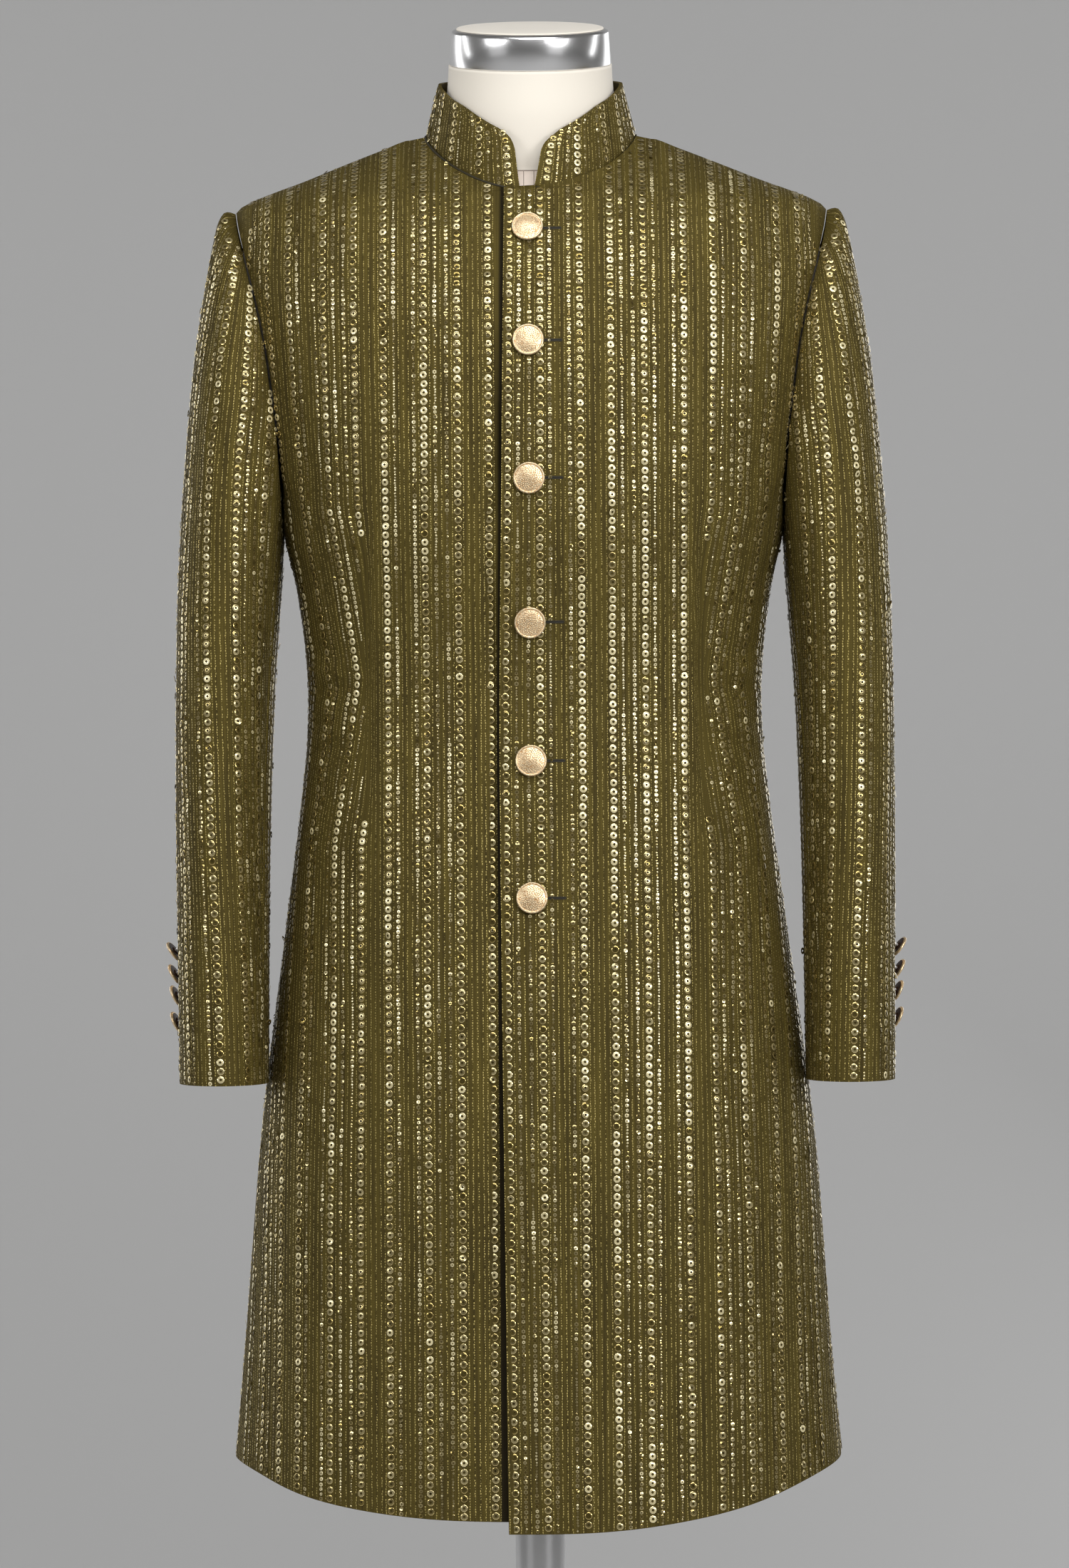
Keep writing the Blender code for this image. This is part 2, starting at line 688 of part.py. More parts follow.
def leaning_disc(name, profile, along, finish):
    """A turned piece on the neck's axis; profile holds (radius, height) pairs."""
    axis = Vector((0.0, -math.sin(NECK_LEAN), math.cos(NECK_LEAN)))
    forward = Vector((0.0, -math.cos(NECK_LEAN), -math.sin(NECK_LEAN)))
    rings = []
    for radius, height in profile:
        middle = NECK_BASE + axis * (along + height)
        ring = []
        for n in range(BAND_SEGMENTS):
            angle = math.tau * n / BAND_SEGMENTS
            sideways = Vector((radius * math.sin(angle), 0.0, 0.0))
            ring.append(middle + sideways + forward * radius * math.cos(angle))
        rings.append(ring)
    return tower(name, rings, finish)


def upright(name, profile, segments, finish):
    rings = []
    for radius, z in profile:
        step = math.tau / segments
        ring = [Vector((radius * math.sin(n * step), -radius * math.cos(n * step), z))
                for n in range(segments)]
        rings.append(ring)
    return tower(name, rings, finish)


def stand():
    neck_end = NECK_TOP + REST
    leaning_disc("neck_band", [
        (BAND_RADIUS, 0.0),
        (BAND_TOP_RADIUS, BAND_HEIGHT - BAND_ROUNDING),
        (BAND_TOP_RADIUS - 0.3 * BAND_ROUNDING, BAND_HEIGHT - 0.3 * BAND_ROUNDING),
        (BAND_TOP_RADIUS - BAND_ROUNDING, BAND_HEIGHT),
    ], neck_end, CHROME)
    leaning_disc("neck_lid", [
        (LID_RADIUS, 0.0),
        (LID_RADIUS - 0.0004, 0.6 * LID_HEIGHT),
        (0.97 * LID_RADIUS, LID_HEIGHT),
    ], neck_end + BAND_HEIGHT + REST, FORM_CLOTH)
    pole_foot = BASE_THICKNESS + REST
    pole_top = FORM_HEM_Z - REST
    upright("pole", [(POLE_RADIUS, pole_foot), (POLE_RADIUS, pole_top)], POLE_SEGMENTS, CHROME)
    pole_collar(pole_foot)
    upright("base", [
        (BASE_RADIUS - BASE_EDGE, 0.0),
        (BASE_RADIUS, BASE_EDGE),
        (BASE_RADIUS, BASE_THICKNESS - BASE_EDGE),
        (BASE_RADIUS - BASE_EDGE, BASE_THICKNESS),
    ], BASE_SEGMENTS, STEEL)


def pole_collar(foot):
    """The flanged sleeve round the pole's foot."""
    bore = POLE_RADIUS + REST
    profile = [
        (bore, foot),
        (FLANGE_RADIUS, foot),
        (FLANGE_RADIUS, foot + FLANGE_EDGE),
        (FLANGE_TOP[0], foot + FLANGE_TOP[1]),
        (POLE_SLEEVE[0], foot + POLE_SLEEVE[1]),
        (bore, foot + POLE_SLEEVE[1]),
    ]
    bm = bmesh.new()
    loops = []
    for radius, z in profile:
        loop = []
        for n in range(POLE_SEGMENTS):
            angle = math.tau * n / POLE_SEGMENTS
            loop.append(bm.verts.new((radius * math.sin(angle), -radius * math.cos(angle), z)))
        loops.append(loop)
    for low, high in zip(loops, loops[1:] + loops[:1]):
        for j in range(POLE_SEGMENTS):
            k = (j + 1) % POLE_SEGMENTS
            bm.faces.new((low[j], low[k], high[k], high[j]))
    return add_object("pole_collar", bm, STEEL)


def main():
    for thing in list(bpy.data.objects):
        bpy.data.objects.remove(thing, do_unlink=True)
    front("front_left", 1, HEM_DIP_LEFT)
    front("front_right", -1, HEM_DIP_RIGHT)
    back()
    sleeve("left", 1)
    sleeve("right", -1)
    collar()
    front_buttons()
    cuff_buttons("left", 1)
    cuff_buttons("right", -1)
    form_torso()
    stand()


main()
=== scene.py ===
"""Looks of a long coat of striped sequin cloth, on a limbless dress form with a round stand.

Metres, +Z up. The front faces -Y, and the wearer's left is at +X.
"""

import math
from collections import namedtuple

import bpy
import numpy as np
from mathutils import Matrix, Vector


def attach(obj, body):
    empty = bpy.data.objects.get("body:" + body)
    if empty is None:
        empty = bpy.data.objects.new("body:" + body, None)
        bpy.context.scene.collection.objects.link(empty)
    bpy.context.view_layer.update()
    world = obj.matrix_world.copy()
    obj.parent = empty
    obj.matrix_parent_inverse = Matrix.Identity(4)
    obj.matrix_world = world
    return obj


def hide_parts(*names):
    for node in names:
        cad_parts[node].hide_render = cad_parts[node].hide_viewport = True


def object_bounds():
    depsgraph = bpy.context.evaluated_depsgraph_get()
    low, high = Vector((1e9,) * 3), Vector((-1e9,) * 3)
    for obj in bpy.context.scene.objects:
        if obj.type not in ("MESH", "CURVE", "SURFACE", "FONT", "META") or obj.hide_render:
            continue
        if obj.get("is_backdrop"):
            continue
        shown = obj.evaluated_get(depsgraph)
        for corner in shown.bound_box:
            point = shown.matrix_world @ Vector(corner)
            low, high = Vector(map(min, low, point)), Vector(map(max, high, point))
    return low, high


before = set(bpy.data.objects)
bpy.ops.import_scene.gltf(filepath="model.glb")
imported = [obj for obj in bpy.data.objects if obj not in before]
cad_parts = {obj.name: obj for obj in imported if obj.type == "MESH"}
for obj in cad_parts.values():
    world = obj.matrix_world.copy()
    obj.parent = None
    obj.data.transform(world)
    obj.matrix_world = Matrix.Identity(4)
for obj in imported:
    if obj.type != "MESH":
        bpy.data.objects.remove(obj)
CAD_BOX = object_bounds()


def table(columns, *rows):
    """A short table whose rows have named columns."""
    row_of = namedtuple("Row", columns)
    return [row_of(*row) for row in rows]


# Driving sizes, the same as in the coat's solids
WALL = 0.0020
SEAM = 0.0004
REST = 0.0003
HEM_Z = 0.495
HEM_FADE_Z = 0.74
COLLAR_WALL = 0.0024
LAP_LIFT = 0.0027
LAP_FLAT_X = 0.033
LAP_END_X = 0.060
UNDERLAP_X = 0.030
UNDERARM_Z = 1.187
TIP_Z = 1.434
NECKLINE_HALF = 0.0797
NECKLINE_FRONT_Z = 1.4415
NECKLINE_SIDE_Z = 1.4905
NECKLINE_NAPE_Z = 1.5040
COLLAR_TOP_HALF = 0.0694
COLLAR_TOP_DEPTH = 0.0648
COLLAR_TOP_Y = -0.0122
# Height of the standing band, by the angle from centre front
COLLAR_RISES = table(
    "angle rise",
    (0.0, 0.0345), (7.0, 0.0360), (21.0, 0.0435), (43.0, 0.0456), (62.0, 0.0420), (90.0, 0.0388),
    (180.0, 0.0360),
)
COLLAR_END_LEFT = (1.8, 7.0)
COLLAR_END_RIGHT = (6.1, 10.4)

# Level sections of the coat: half width, depth in front and behind, and roundness
BODY = table(
    "z half front back power",
    (0.4400, 0.2335, 0.1680, 0.1790, 2.25),
    (0.4950, 0.2286, 0.1630, 0.1730, 2.25),
    (0.5520, 0.2232, 0.1565, 0.1660, 2.25),
    (0.6060, 0.2188, 0.1500, 0.1590, 2.25),
    (0.6600, 0.2150, 0.1445, 0.1525, 2.25),
    (0.7140, 0.2110, 0.1400, 0.1475, 2.25),
    (0.7680, 0.2056, 0.1355, 0.1425, 2.25),
    (0.8220, 0.1990, 0.1310, 0.1360, 2.25),
    (0.8760, 0.1917, 0.1250, 0.1280, 2.25),
    (0.9300, 0.1844, 0.1190, 0.1170, 2.25),
    (0.9840, 0.1774, 0.1135, 0.1035, 2.30),
    (1.0380, 0.1720, 0.1090, 0.0930, 2.30),
    (1.0650, 0.1712, 0.1080, 0.0905, 2.30),
    (1.0920, 0.1723, 0.1095, 0.0915, 2.30),
    (1.1460, 0.1790, 0.1180, 0.1010, 2.30),
    (1.1870, 0.1885, 0.1250, 0.1095, 2.30),
    (1.2400, 0.1990, 0.1280, 0.1165, 2.30),
    (1.3000, 0.2090, 0.1265, 0.1210, 2.30),
    (1.3600, 0.2175, 0.1190, 0.1205, 2.30),
    (1.4000, 0.2215, 0.1090, 0.1160, 2.25),
    (1.4250, 0.2232, 0.0975, 0.1110, 2.15),
    (1.4340, 0.2235, 0.0925, 0.1085, 2.05),
    (1.4400, 0.2152, 0.0885, 0.1065, 2.00),
    (1.4480, 0.1963, 0.0787, 0.1035, 2.00),
    (1.4560, 0.1744, 0.0686, 0.1000, 2.00),
    (1.4640, 0.1547, 0.0568, 0.0960, 2.00),
    (1.4725, 0.1336, 0.0440, 0.0910, 2.00),
    (1.4810, 0.1120, 0.0288, 0.0850, 2.00),
    (1.4890, 0.0915, 0.0120, 0.0785, 2.00),
    (1.4905, 0.0797, 0.0060, 0.0770, 2.00),
    (1.4970, 0.0765, 0.0060, 0.0710, 2.00),
    (1.5030, 0.0730, 0.0060, 0.0655, 2.00),
)

# Armhole seam: share of the half width at each height
ARMHOLE = table(
    "z share",
    (1.187, 1.000), (1.196, 0.989), (1.210, 0.974), (1.240, 0.953), (1.272, 0.940),
    (1.322, 0.938), (1.355, 0.948), (1.385, 0.968), (1.410, 0.987), (1.425, 0.997),
    (1.434, 1.000),
)

# Edge of the lapping front
LAP_EDGE = table(
    "z x",
    (0.44, -0.0220), (0.78, -0.0250), (1.02, -0.0260), (1.24, -0.0230), (1.44, -0.0200),
)
Dip = namedtuple("Dip", "depth power")
HEM_DIP_LEFT = Dip(0.0425, 2.1)
HEM_DIP_RIGHT = Dip(0.0335, 2.6)
HEM_DIP_BACK = Dip(0.030, 3.0)

# Sleeve: rings from the armhole to the cuff, seen from the front
SLEEVE = table(
    "share outer_x outer_z inner_x inner_z middle_y depth",
    (0.00, 0.2240, 1.4342, 0.1890, 1.1868, 0.000, 0.0560),
    (0.03, 0.2310, 1.4352, 0.1898, 1.1790, 0.000, 0.0610),
    (0.07, 0.2370, 1.4275, 0.1903, 1.1690, -0.001, 0.0650),
    (0.12, 0.2410, 1.4110, 0.1906, 1.1570, -0.002, 0.0675),
    (0.20, 0.2480, 1.3720, 0.1920, 1.1370, -0.004, 0.0690),
    (0.30, 0.2562, 1.3150, 0.1940, 1.1090, -0.006, 0.0690),
    (0.40, 0.2625, 1.2480, 0.1962, 1.0780, -0.008, 0.0675),
    (0.50, 0.2668, 1.1850, 0.1980, 1.0350, -0.012, 0.0650),
    (0.60, 0.2695, 1.1200, 0.1995, 0.9880, -0.017, 0.0625),
    (0.70, 0.2703, 1.0450, 0.2005, 0.9380, -0.024, 0.0600),
    (0.80, 0.2704, 0.9620, 0.2010, 0.8860, -0.031, 0.0575),
    (0.90, 0.2690, 0.8700, 0.2012, 0.8320, -0.038, 0.0550),
    (1.00, 0.2682, 0.7775, 0.2014, 0.7775, -0.045, 0.0530),
)
CAP_SHARE = 0.25
TUBE_SHARE = 0.12
FRONT_SEAM = 155.0
BACK_SEAM_TOP = -60.0
BACK_SEAM_CUFF = 4.0

# Buttons
FRONT_BUTTON_Z = [1.4100, 1.3265, 1.2255, 1.1200, 1.0168, 0.9155]
FRONT_BUTTON_X = -0.003
FRONT_BUTTON_RADIUS = 0.0117
CUFF_BUTTONS = table(
    "z tilt",
    (0.8798, 34.0), (0.8618, 30.0), (0.8446, 25.0), (0.8246, 24.0),
)
CUFF_BUTTON_RADIUS = 0.0088
CUFF_BUTTON_ANGLE = -24.0

# Dress form
FORM_EASE = 0.0012
FORM_DROP = 0.0060
FORM_LOOSE_Z = 1.330
FORM_CLOSE_Z = 1.400
FORM_HEM_Z = 0.840
NECK_BASE = Vector((0.0, 0.002, 1.440))
NECK_LEAN = math.radians(12.0)
NECK_AXIS = Vector((0.0, -math.sin(NECK_LEAN), math.cos(NECK_LEAN)))
NECK_RADIUS = 0.0636
NECK_TOP_RADIUS = 0.0616
NECK_TOP = 0.105
BAND_RADIUS = 0.0611
BAND_TOP_RADIUS = 0.0594
BAND_HEIGHT = 0.0262
BAND_ROUNDING = 0.0030
LID_RADIUS = 0.0556
LID_HEIGHT = 0.0012
FORM_SEGMENTS = 96
# How the torso turns in below: share of its size, and height above its hem
FORM_FOOT = [(0.55, 0.0), (0.80, 0.0), (0.90, 0.0012), (0.96, 0.0050)]

# Stand
POLE_RADIUS = 0.0190
BASE_RADIUS = 0.200
BASE_THICKNESS = 0.006
BASE_EDGE = 0.0015
FLANGE_RADIUS = 0.040
FLANGE_TOP = (0.026, 0.010)
FLANGE_EDGE = 0.005
POLE_SLEEVE = (0.024, 0.045)
STAND_EDGE = 0.0008

# The striped cloth, charted across one repeat: where each row of sequins or beads lies
REPEAT = 0.0785
STRIPES = {
    "sequin": [0.0000, 0.0250, 0.0555],
    "spangle": [0.0080, 0.0165, 0.0325, 0.0475],
    "chain": [0.0042, 0.0122, 0.0206, 0.0290, 0.0366, 0.0405, 0.0440, 0.0515, 0.0594, 0.0625,
              0.0665, 0.0705, 0.0744],
}
LEFT_PHASE = -0.0205
RIGHT_PHASE = -0.0228
BACK_PHASE = 0.0115
SLEEVE_PHASE = 0.0135
COLLAR_PHASE = 0.0080
HIDDEN_ACROSS = 0.0265              # the front below has no discs nearer to its edge
SEQUIN_RADIUS = 0.00275
SEQUIN_PITCH = 0.00650
SPANGLE_RADIUS = 0.00155
BEAD_RADIUS = 0.00080
SEED = 5003

# How unevenly discs are sewn: spacing, size and gaps, each as a range or a spread
SEQUIN_DRIFT, SEQUIN_SIZES = 0.00012, (0.97, 1.02)
SPANGLE_DRAWS, SPANGLE_SHARE = 400, 0.55
SPANGLE_RUN, SPANGLE_SIZES, SPANGLE_GAPS = (2, 14), (0.85, 1.12), (0.0002, 0.0009)
SPANGLE_MARGIN = 1.2 * SPANGLE_RADIUS
DISC_LIFT, DISC_ASIDE, DISC_TIP_MOST = 0.00012, 0.00015, 0.35
LOOSE_SHARE, LOOSE_TIP = 0.05, 3.0


def read(rows, column, at):
    """Read one column of a table at any values of its first, smoothly, with no overshoot."""
    keys = np.array([row[0] for row in rows])
    data = np.array([getattr(row, column) for row in rows])
    at = np.clip(np.asarray(at, float), keys[0], keys[-1])
    slopes = np.diff(data) / np.diff(keys)
    before, after = slopes[:-1], slopes[1:]
    total = np.where(before * after > 0.0, before + after, 1.0)
    inner = np.where(before * after > 0.0, 2.0 * before * after / total, 0.0)
    tangents = np.concatenate([slopes[:1], inner, slopes[-1:]])
    i = np.clip(np.searchsorted(keys, at, side="right") - 1, 0, len(keys) - 2)
    step = keys[i + 1] - keys[i]
    u = (at - keys[i]) / step
    bend = tangents[i] * u * (1 - u) ** 2 + tangents[i + 1] * u * u * (u - 1)
    return data[i] * (1 + 2 * u) * (1 - u) ** 2 + data[i + 1] * u * u * (3 - 2 * u) + step * bend


def smooth_step(low, high, at):
    u = np.clip((np.asarray(at, float) - low) / (high - low), 0.0, 1.0)
    return u * u * (3.0 - 2.0 * u)


def signed_power(base, power):
    return np.sign(base) * np.abs(base) ** power


def sine(angle):
    return np.sin(np.radians(angle))


def cosine(angle):
    return np.cos(np.radians(angle))


def unit(vectors):
    return vectors / np.maximum(np.linalg.norm(vectors, axis=-1, keepdims=True), 1e-12)


def body_point(turn, z):
    """Points of the coat at turns from centre front: 90 is the +X side, 180 the back."""
    turn, z = np.broadcast_arrays(np.asarray(turn, float), np.asarray(z, float))
    power = read(BODY, "power", z)
    depth = np.where(cosine(turn) > 0.0, read(BODY, "front", z), read(BODY, "back", z))
    x = read(BODY, "half", z) * signed_power(sine(turn), 2.0 / power)
    y = -depth * signed_power(cosine(turn), 2.0 / power)
    return np.stack([x, y, z], -1)


def body_normal(turn, z):
    turn, z = np.asarray(turn, float), np.asarray(z, float)
    along = body_point(turn + 1.5, z) - body_point(turn - 1.5, z)
    upward = body_point(turn, z + 0.001) - body_point(turn, z - 0.001)
    return unit(np.cross(along, upward))


def turn_at_x(x, z):
    share = np.clip(x / read(BODY, "half", z), -1.0, 1.0)
    return np.degrees(np.arcsin(signed_power(share, read(BODY, "power", z) / 2.0)))


def turn_beside_seam(z, offset):
    """Turn of the point that lies offset in front of (or, if negative, behind) the side."""
    depth = read(BODY, "front" if offset > 0.0 else "back", z)
    return np.degrees(np.arccos(signed_power(offset / depth, read(BODY, "power", z) / 2.0)))


def armhole_turn(z):
    return turn_at_x(read(BODY, "half", z) * read(ARMHOLE, "share", z), z)


def neckline_x(z):
    climbed = (z - NECKLINE_FRONT_Z) / (NECKLINE_SIDE_Z - NECKLINE_FRONT_Z)
    front = (np.sqrt(np.maximum(0.0, 9.0 - 8.0 * climbed)) - 1.0) / 2.0
    nape = (z - NECKLINE_SIDE_Z) / (NECKLINE_NAPE_Z - NECKLINE_SIDE_Z)
    share = np.where(z < NECKLINE_SIDE_Z, front, nape)
    return NECKLINE_HALF * np.sqrt(np.maximum(0.0, 1.0 - share * share))


def neckline_z(angle):
    climbed = 1.0 - (cosine(angle) + cosine(angle) ** 2) / 2.0
    front = NECKLINE_FRONT_Z + (NECKLINE_SIDE_Z - NECKLINE_FRONT_Z) * climbed
    nape = NECKLINE_SIDE_Z - (NECKLINE_NAPE_Z - NECKLINE_SIDE_Z) * cosine(angle)
    return np.where(cosine(angle) > 0.0, front, nape)


def lap_lift(x):
    return LAP_LIFT * (1.0 - smooth_step(LAP_FLAT_X, LAP_END_X, x))


def hem_shift(turn, z, dip):
    fade = 1.0 - smooth_step(HEM_Z, HEM_FADE_Z, z)
    return -dip.depth * (1.0 - np.abs(sine(turn)) ** dip.power) * fade


# Where the stripes run: arc lengths along level sections, read from one fine table
ARC_TURNS = np.linspace(-40.0, 180.0, 441)
ARC_HEIGHTS = np.linspace(0.44, 1.503, 214)


def arc_table():
    turns, heights = np.meshgrid(ARC_TURNS, ARC_HEIGHTS)
    points = body_point(turns, heights)
    steps = np.linalg.norm(np.diff(points, axis=1), axis=-1)
    arcs = np.concatenate([np.zeros((len(ARC_HEIGHTS), 1)), np.cumsum(steps, 1)], 1)
    start = np.searchsorted(ARC_TURNS, 0.0)
    return arcs - arcs[:, start : start + 1]


ARCS = arc_table()


def level_arc(turn, z):
    """Arc length along the level section at z, from centre front to a turn."""
    column = np.interp(turn, ARC_TURNS, np.arange(len(ARC_TURNS)))
    row = np.interp(z, ARC_HEIGHTS, np.arange(len(ARC_HEIGHTS)))
    i = np.minimum(row.astype(int), len(ARC_HEIGHTS) - 2)
    j = np.minimum(column.astype(int), len(ARC_TURNS) - 2)
    a, b = row - i, column - j
    low = ARCS[i, j] * (1 - b) + ARCS[i, j + 1] * b
    high = ARCS[i + 1, j] * (1 - b) + ARCS[i + 1, j + 1] * b
    return low * (1 - a) + high * a


# Waist darts: x of their line, heights of their ends, and how much cloth each takes in
Dart = namedtuple("Dart", "x low high intake")
FRONT_DART = Dart(0.123, 0.955, 1.205, 0.022)
BACK_DART = Dart(0.095, 0.930, 1.230, 0.018)
DART_HALF = 0.0035
DART_TROUGH, DART_TROUGH_HALF = 0.0009, 0.0030
SHOULDER_HOLD_LOW = 1.36
SHOULDER_HOLD_HIGH = 1.42


def dart_depth(dart, z, reach):
    """From 1 in the middle of the dart down to 0 at its ends, or a little beyond them."""
    middle, half = (dart.low + dart.high) / 2.0, (dart.high - dart.low) / 2.0
    return np.clip(reach - np.abs(z - middle) / half, 0.0, 1.0)


def dart_intake(dart, x, z):
    """Cloth taken into the dart, felt by everything further out than its line."""
    depth = dart_depth(dart, z, 1.0)
    return dart.intake * depth * smooth_step(dart.x - DART_HALF, dart.x + DART_HALF, np.abs(x))


def dart_trough(dart, x, z):
    aside = (np.abs(x) - dart.x) / DART_TROUGH_HALF
    return -DART_TROUGH * dart_depth(dart, z, 1.2) * np.exp(-(aside ** 2))


def front_across(turn, z):
    """Place across the cloth of a front: arcs from centre front, upright at the shoulder."""
    arc = level_arc(turn, z)
    x = body_point(turn, z)[..., 0]
    held = level_arc(turn_at_x(x, SHOULDER_HOLD_LOW), SHOULDER_HOLD_LOW)
    arc += (held - arc) * smooth_step(SHOULDER_HOLD_LOW, SHOULDER_HOLD_HIGH, z)
    return arc + dart_intake(FRONT_DART, x, z)


def back_across(turn, z):
    """Place across the cloth of the back, from its middle; turns here run past 180."""
    side = np.sign(turn - 180.0)
    mirrored = 180.0 - np.abs(turn - 180.0)
    middle, low = np.full_like(mirrored, 180.0), np.full_like(z, SHOULDER_HOLD_LOW)
    arc = level_arc(middle, z) - level_arc(mirrored, z)
    x = np.abs(body_point(mirrored, z)[..., 0])
    held_turn = 180.0 - turn_at_x(x, SHOULDER_HOLD_LOW)
    held = level_arc(middle, low) - level_arc(held_turn, low)
    arc += (held - arc) * smooth_step(SHOULDER_HOLD_LOW, SHOULDER_HOLD_HIGH, z)
    return side * (arc + dart_intake(BACK_DART, x, z))


# Creases: middle across and up the piece, size, depth and slant in degrees.
# Across is the distance from the piece's own centre line, and a negative depth is a trough.
FRONT_CREASES = table(
    "across up length width depth slant",
    (0.196, 1.098, 0.070, 0.0060, -0.0016, 8.0),
    (0.186, 1.071, 0.092, 0.0072, -0.0022, 4.0),
    (0.201, 1.046, 0.058, 0.0055, -0.0015, -6.0),
    (0.178, 1.027, 0.080, 0.0085, -0.0017, -10.0),
    (0.190, 1.084, 0.060, 0.0070, 0.0014, 6.0),
    (0.184, 0.992, 0.052, 0.0100, -0.0014, -16.0),
    (0.205, 1.205, 0.075, 0.0100, -0.0022, 58.0),
    (0.186, 1.240, 0.090, 0.0140, -0.0018, 64.0),
    (0.060, 1.150, 0.120, 0.0220, 0.0012, 78.0),
    (0.085, 0.860, 0.190, 0.0300, 0.0016, 88.0),
    (0.150, 0.800, 0.240, 0.0280, -0.0020, 92.0),
)
BACK_CREASES = table(
    "across up length width depth slant",
    (0.175, 1.092, 0.085, 0.0065, -0.0018, -7.0),
    (0.160, 1.062, 0.100, 0.0080, -0.0024, 3.0),
    (0.182, 1.036, 0.060, 0.0060, -0.0014, 9.0),
    (0.060, 1.050, 0.110, 0.0090, -0.0016, -3.0),
    (-0.028, 1.078, 0.090, 0.0080, -0.0014, 5.0),
    (-0.100, 1.056, 0.120, 0.0085, -0.0020, 8.0),
    (-0.178, 1.088, 0.080, 0.0065, -0.0019, 4.0),
    (-0.168, 1.044, 0.095, 0.0075, -0.0022, -6.0),
    (0.150, 1.230, 0.110, 0.0150, -0.0022, -60.0),
    (-0.150, 1.225, 0.120, 0.0150, -0.0020, 62.0),
    (0.000, 0.740, 0.300, 0.0320, -0.0024, 90.0),
)
SLEEVE_CREASES = table(
    "across up length width depth slant",
    (0.118, 0.285, 0.075, 0.0080, -0.0022, 14.0),
    (0.128, 0.318, 0.090, 0.0090, -0.0028, 4.0),
    (0.112, 0.350, 0.070, 0.0075, -0.0020, -9.0),
    (0.080, 0.334, 0.060, 0.0110, -0.0012, -14.0),
    (0.124, 0.385, 0.066, 0.0090, -0.0016, -20.0),
    (0.070, 0.110, 0.110, 0.0140, -0.0018, 66.0),
    (0.030, 0.500, 0.160, 0.0180, -0.0012, 84.0),
    (-0.030, 0.300, 0.120, 0.0160, -0.0014, 80.0),
)
CREASE_BOW = 0.12
LOOSE_BELOW, HELD_ABOVE = 1.30, 1.36
FLUTE_HEIGHT = 0.0034
FLUTE_LENGTH = 0.118
FLUTE_TOP_Z = 0.90
FLUTE_SECOND, FLUTE_SECOND_LENGTH = 0.45, 1.7 * FLUTE_LENGTH
LEFT_FLUTE_PHASE, RIGHT_FLUTE_PHASE, BACK_FLUTE_PHASE = 0.030, 0.055, 0.020
FLUTE_START, FLUTE_FULL = 0.04, 0.10
SEAM_ROLL, SEAM_ROLL_REACH = 0.0007, 0.0020
EDGE_STAND, EDGE_STAND_REACH = 0.0018, 0.0050
UNDER_EDGE_SINK, UNDER_EDGE_OFFSET, UNDER_EDGE_REACH = 0.0040, 0.0014, 0.0036
UNDER_EDGE_FADE = (1.325, 1.380)
EDGE_STRAIGHT_X = -0.0248           # the stripes beside the lapping edge are charted from here


def crease_relief(creases, across, up):
    """Soft troughs and ridges: rounded across, bowed, fading out towards both ends."""
    relief = np.zeros_like(across)
    for crease in creases:
        slant = math.radians(crease.slant)
        dx, dz = across - crease.across, up - crease.up
        along = dx * math.cos(slant) + dz * math.sin(slant)
        aside = dz * math.cos(slant) - dx * math.sin(slant)
        aside += CREASE_BOW * along * along / crease.length
        reach = np.clip(1.0 - (2.0 * along / crease.length) ** 2, 0.0, 1.0) ** 2
        relief += crease.depth * reach * np.exp(-((aside / crease.width) ** 2))
    return relief


def loosened(creases, across, z):
    """Creases of the body, which the shoulders hold smooth."""
    return crease_relief(creases, across, z) * (1.0 - smooth_step(LOOSE_BELOW, HELD_ABOVE, z))


def skirt_flutes(across, z, phase):
    """Shallow upright waves that grow towards the hem."""
    growth = 1.0 - smooth_step(HEM_Z, FLUTE_TOP_Z, z)
    wave = np.cos(math.tau * (across - phase) / FLUTE_LENGTH)
    wave += FLUTE_SECOND * np.cos(math.tau * (across + phase) / FLUTE_SECOND_LENGTH)
    return FLUTE_HEIGHT / 2.0 * growth * wave


def edge_stand(distance):
    """How far the lapping edge curls off the front below it."""
    return EDGE_STAND * np.exp(-((distance / EDGE_STAND_REACH) ** 2))


def under_edge(x, z):
    """The front below sinks a little where the lapping edge ends above it."""
    edge = -read(LAP_EDGE, "x", np.clip(z, HEM_Z, NECKLINE_FRONT_Z))
    beside = np.exp(-(((x - edge - UNDER_EDGE_OFFSET) / UNDER_EDGE_REACH) ** 4))
    return -UNDER_EDGE_SINK * beside * (1.0 - smooth_step(*UNDER_EDGE_FADE, z))


def seam_roll(distance):
    """The cloth turns down a little beside a seam."""
    return -SEAM_ROLL * np.exp(-((distance / SEAM_ROLL_REACH) ** 2))


# A panel is a grid of points. Across and along map the cloth, and cut, which its stripes
# follow, measures the whole piece from one side to the other.
Panel = namedtuple("Panel", "name outer inner normals across along cut mirror")


def along_columns(points):
    steps = np.linalg.norm(np.diff(points, axis=0), axis=-1)
    return np.concatenate([np.zeros((1, points.shape[1])), np.cumsum(steps, 0)], 0)


def along_rows(points):
    steps = np.linalg.norm(np.diff(points, axis=1), axis=-1)
    return np.concatenate([np.zeros((points.shape[0], 1)), np.cumsum(steps, 1)], 1)


def edge_shares(count, margin):
    """Shares from 0 to 1, with extra ones close to both ends."""
    inner = np.linspace(3.0 * margin, 1.0 - 3.0 * margin, count)
    close = [0.0, 0.5 * margin, margin, 1.8 * margin]
    return np.concatenate([close, inner, 1.0 - np.array(close[::-1])])


def raised(name, points, normals, relief, across, cut=None, wall=WALL, mirror=False):
    """The panel that stands out from its points by its relief, and has a wall below it."""
    outer = points + normals * relief[..., None]
    return Panel(name, outer, outer - normals * wall, normals, across, along_columns(points),
                 across if cut is None else cut, mirror)


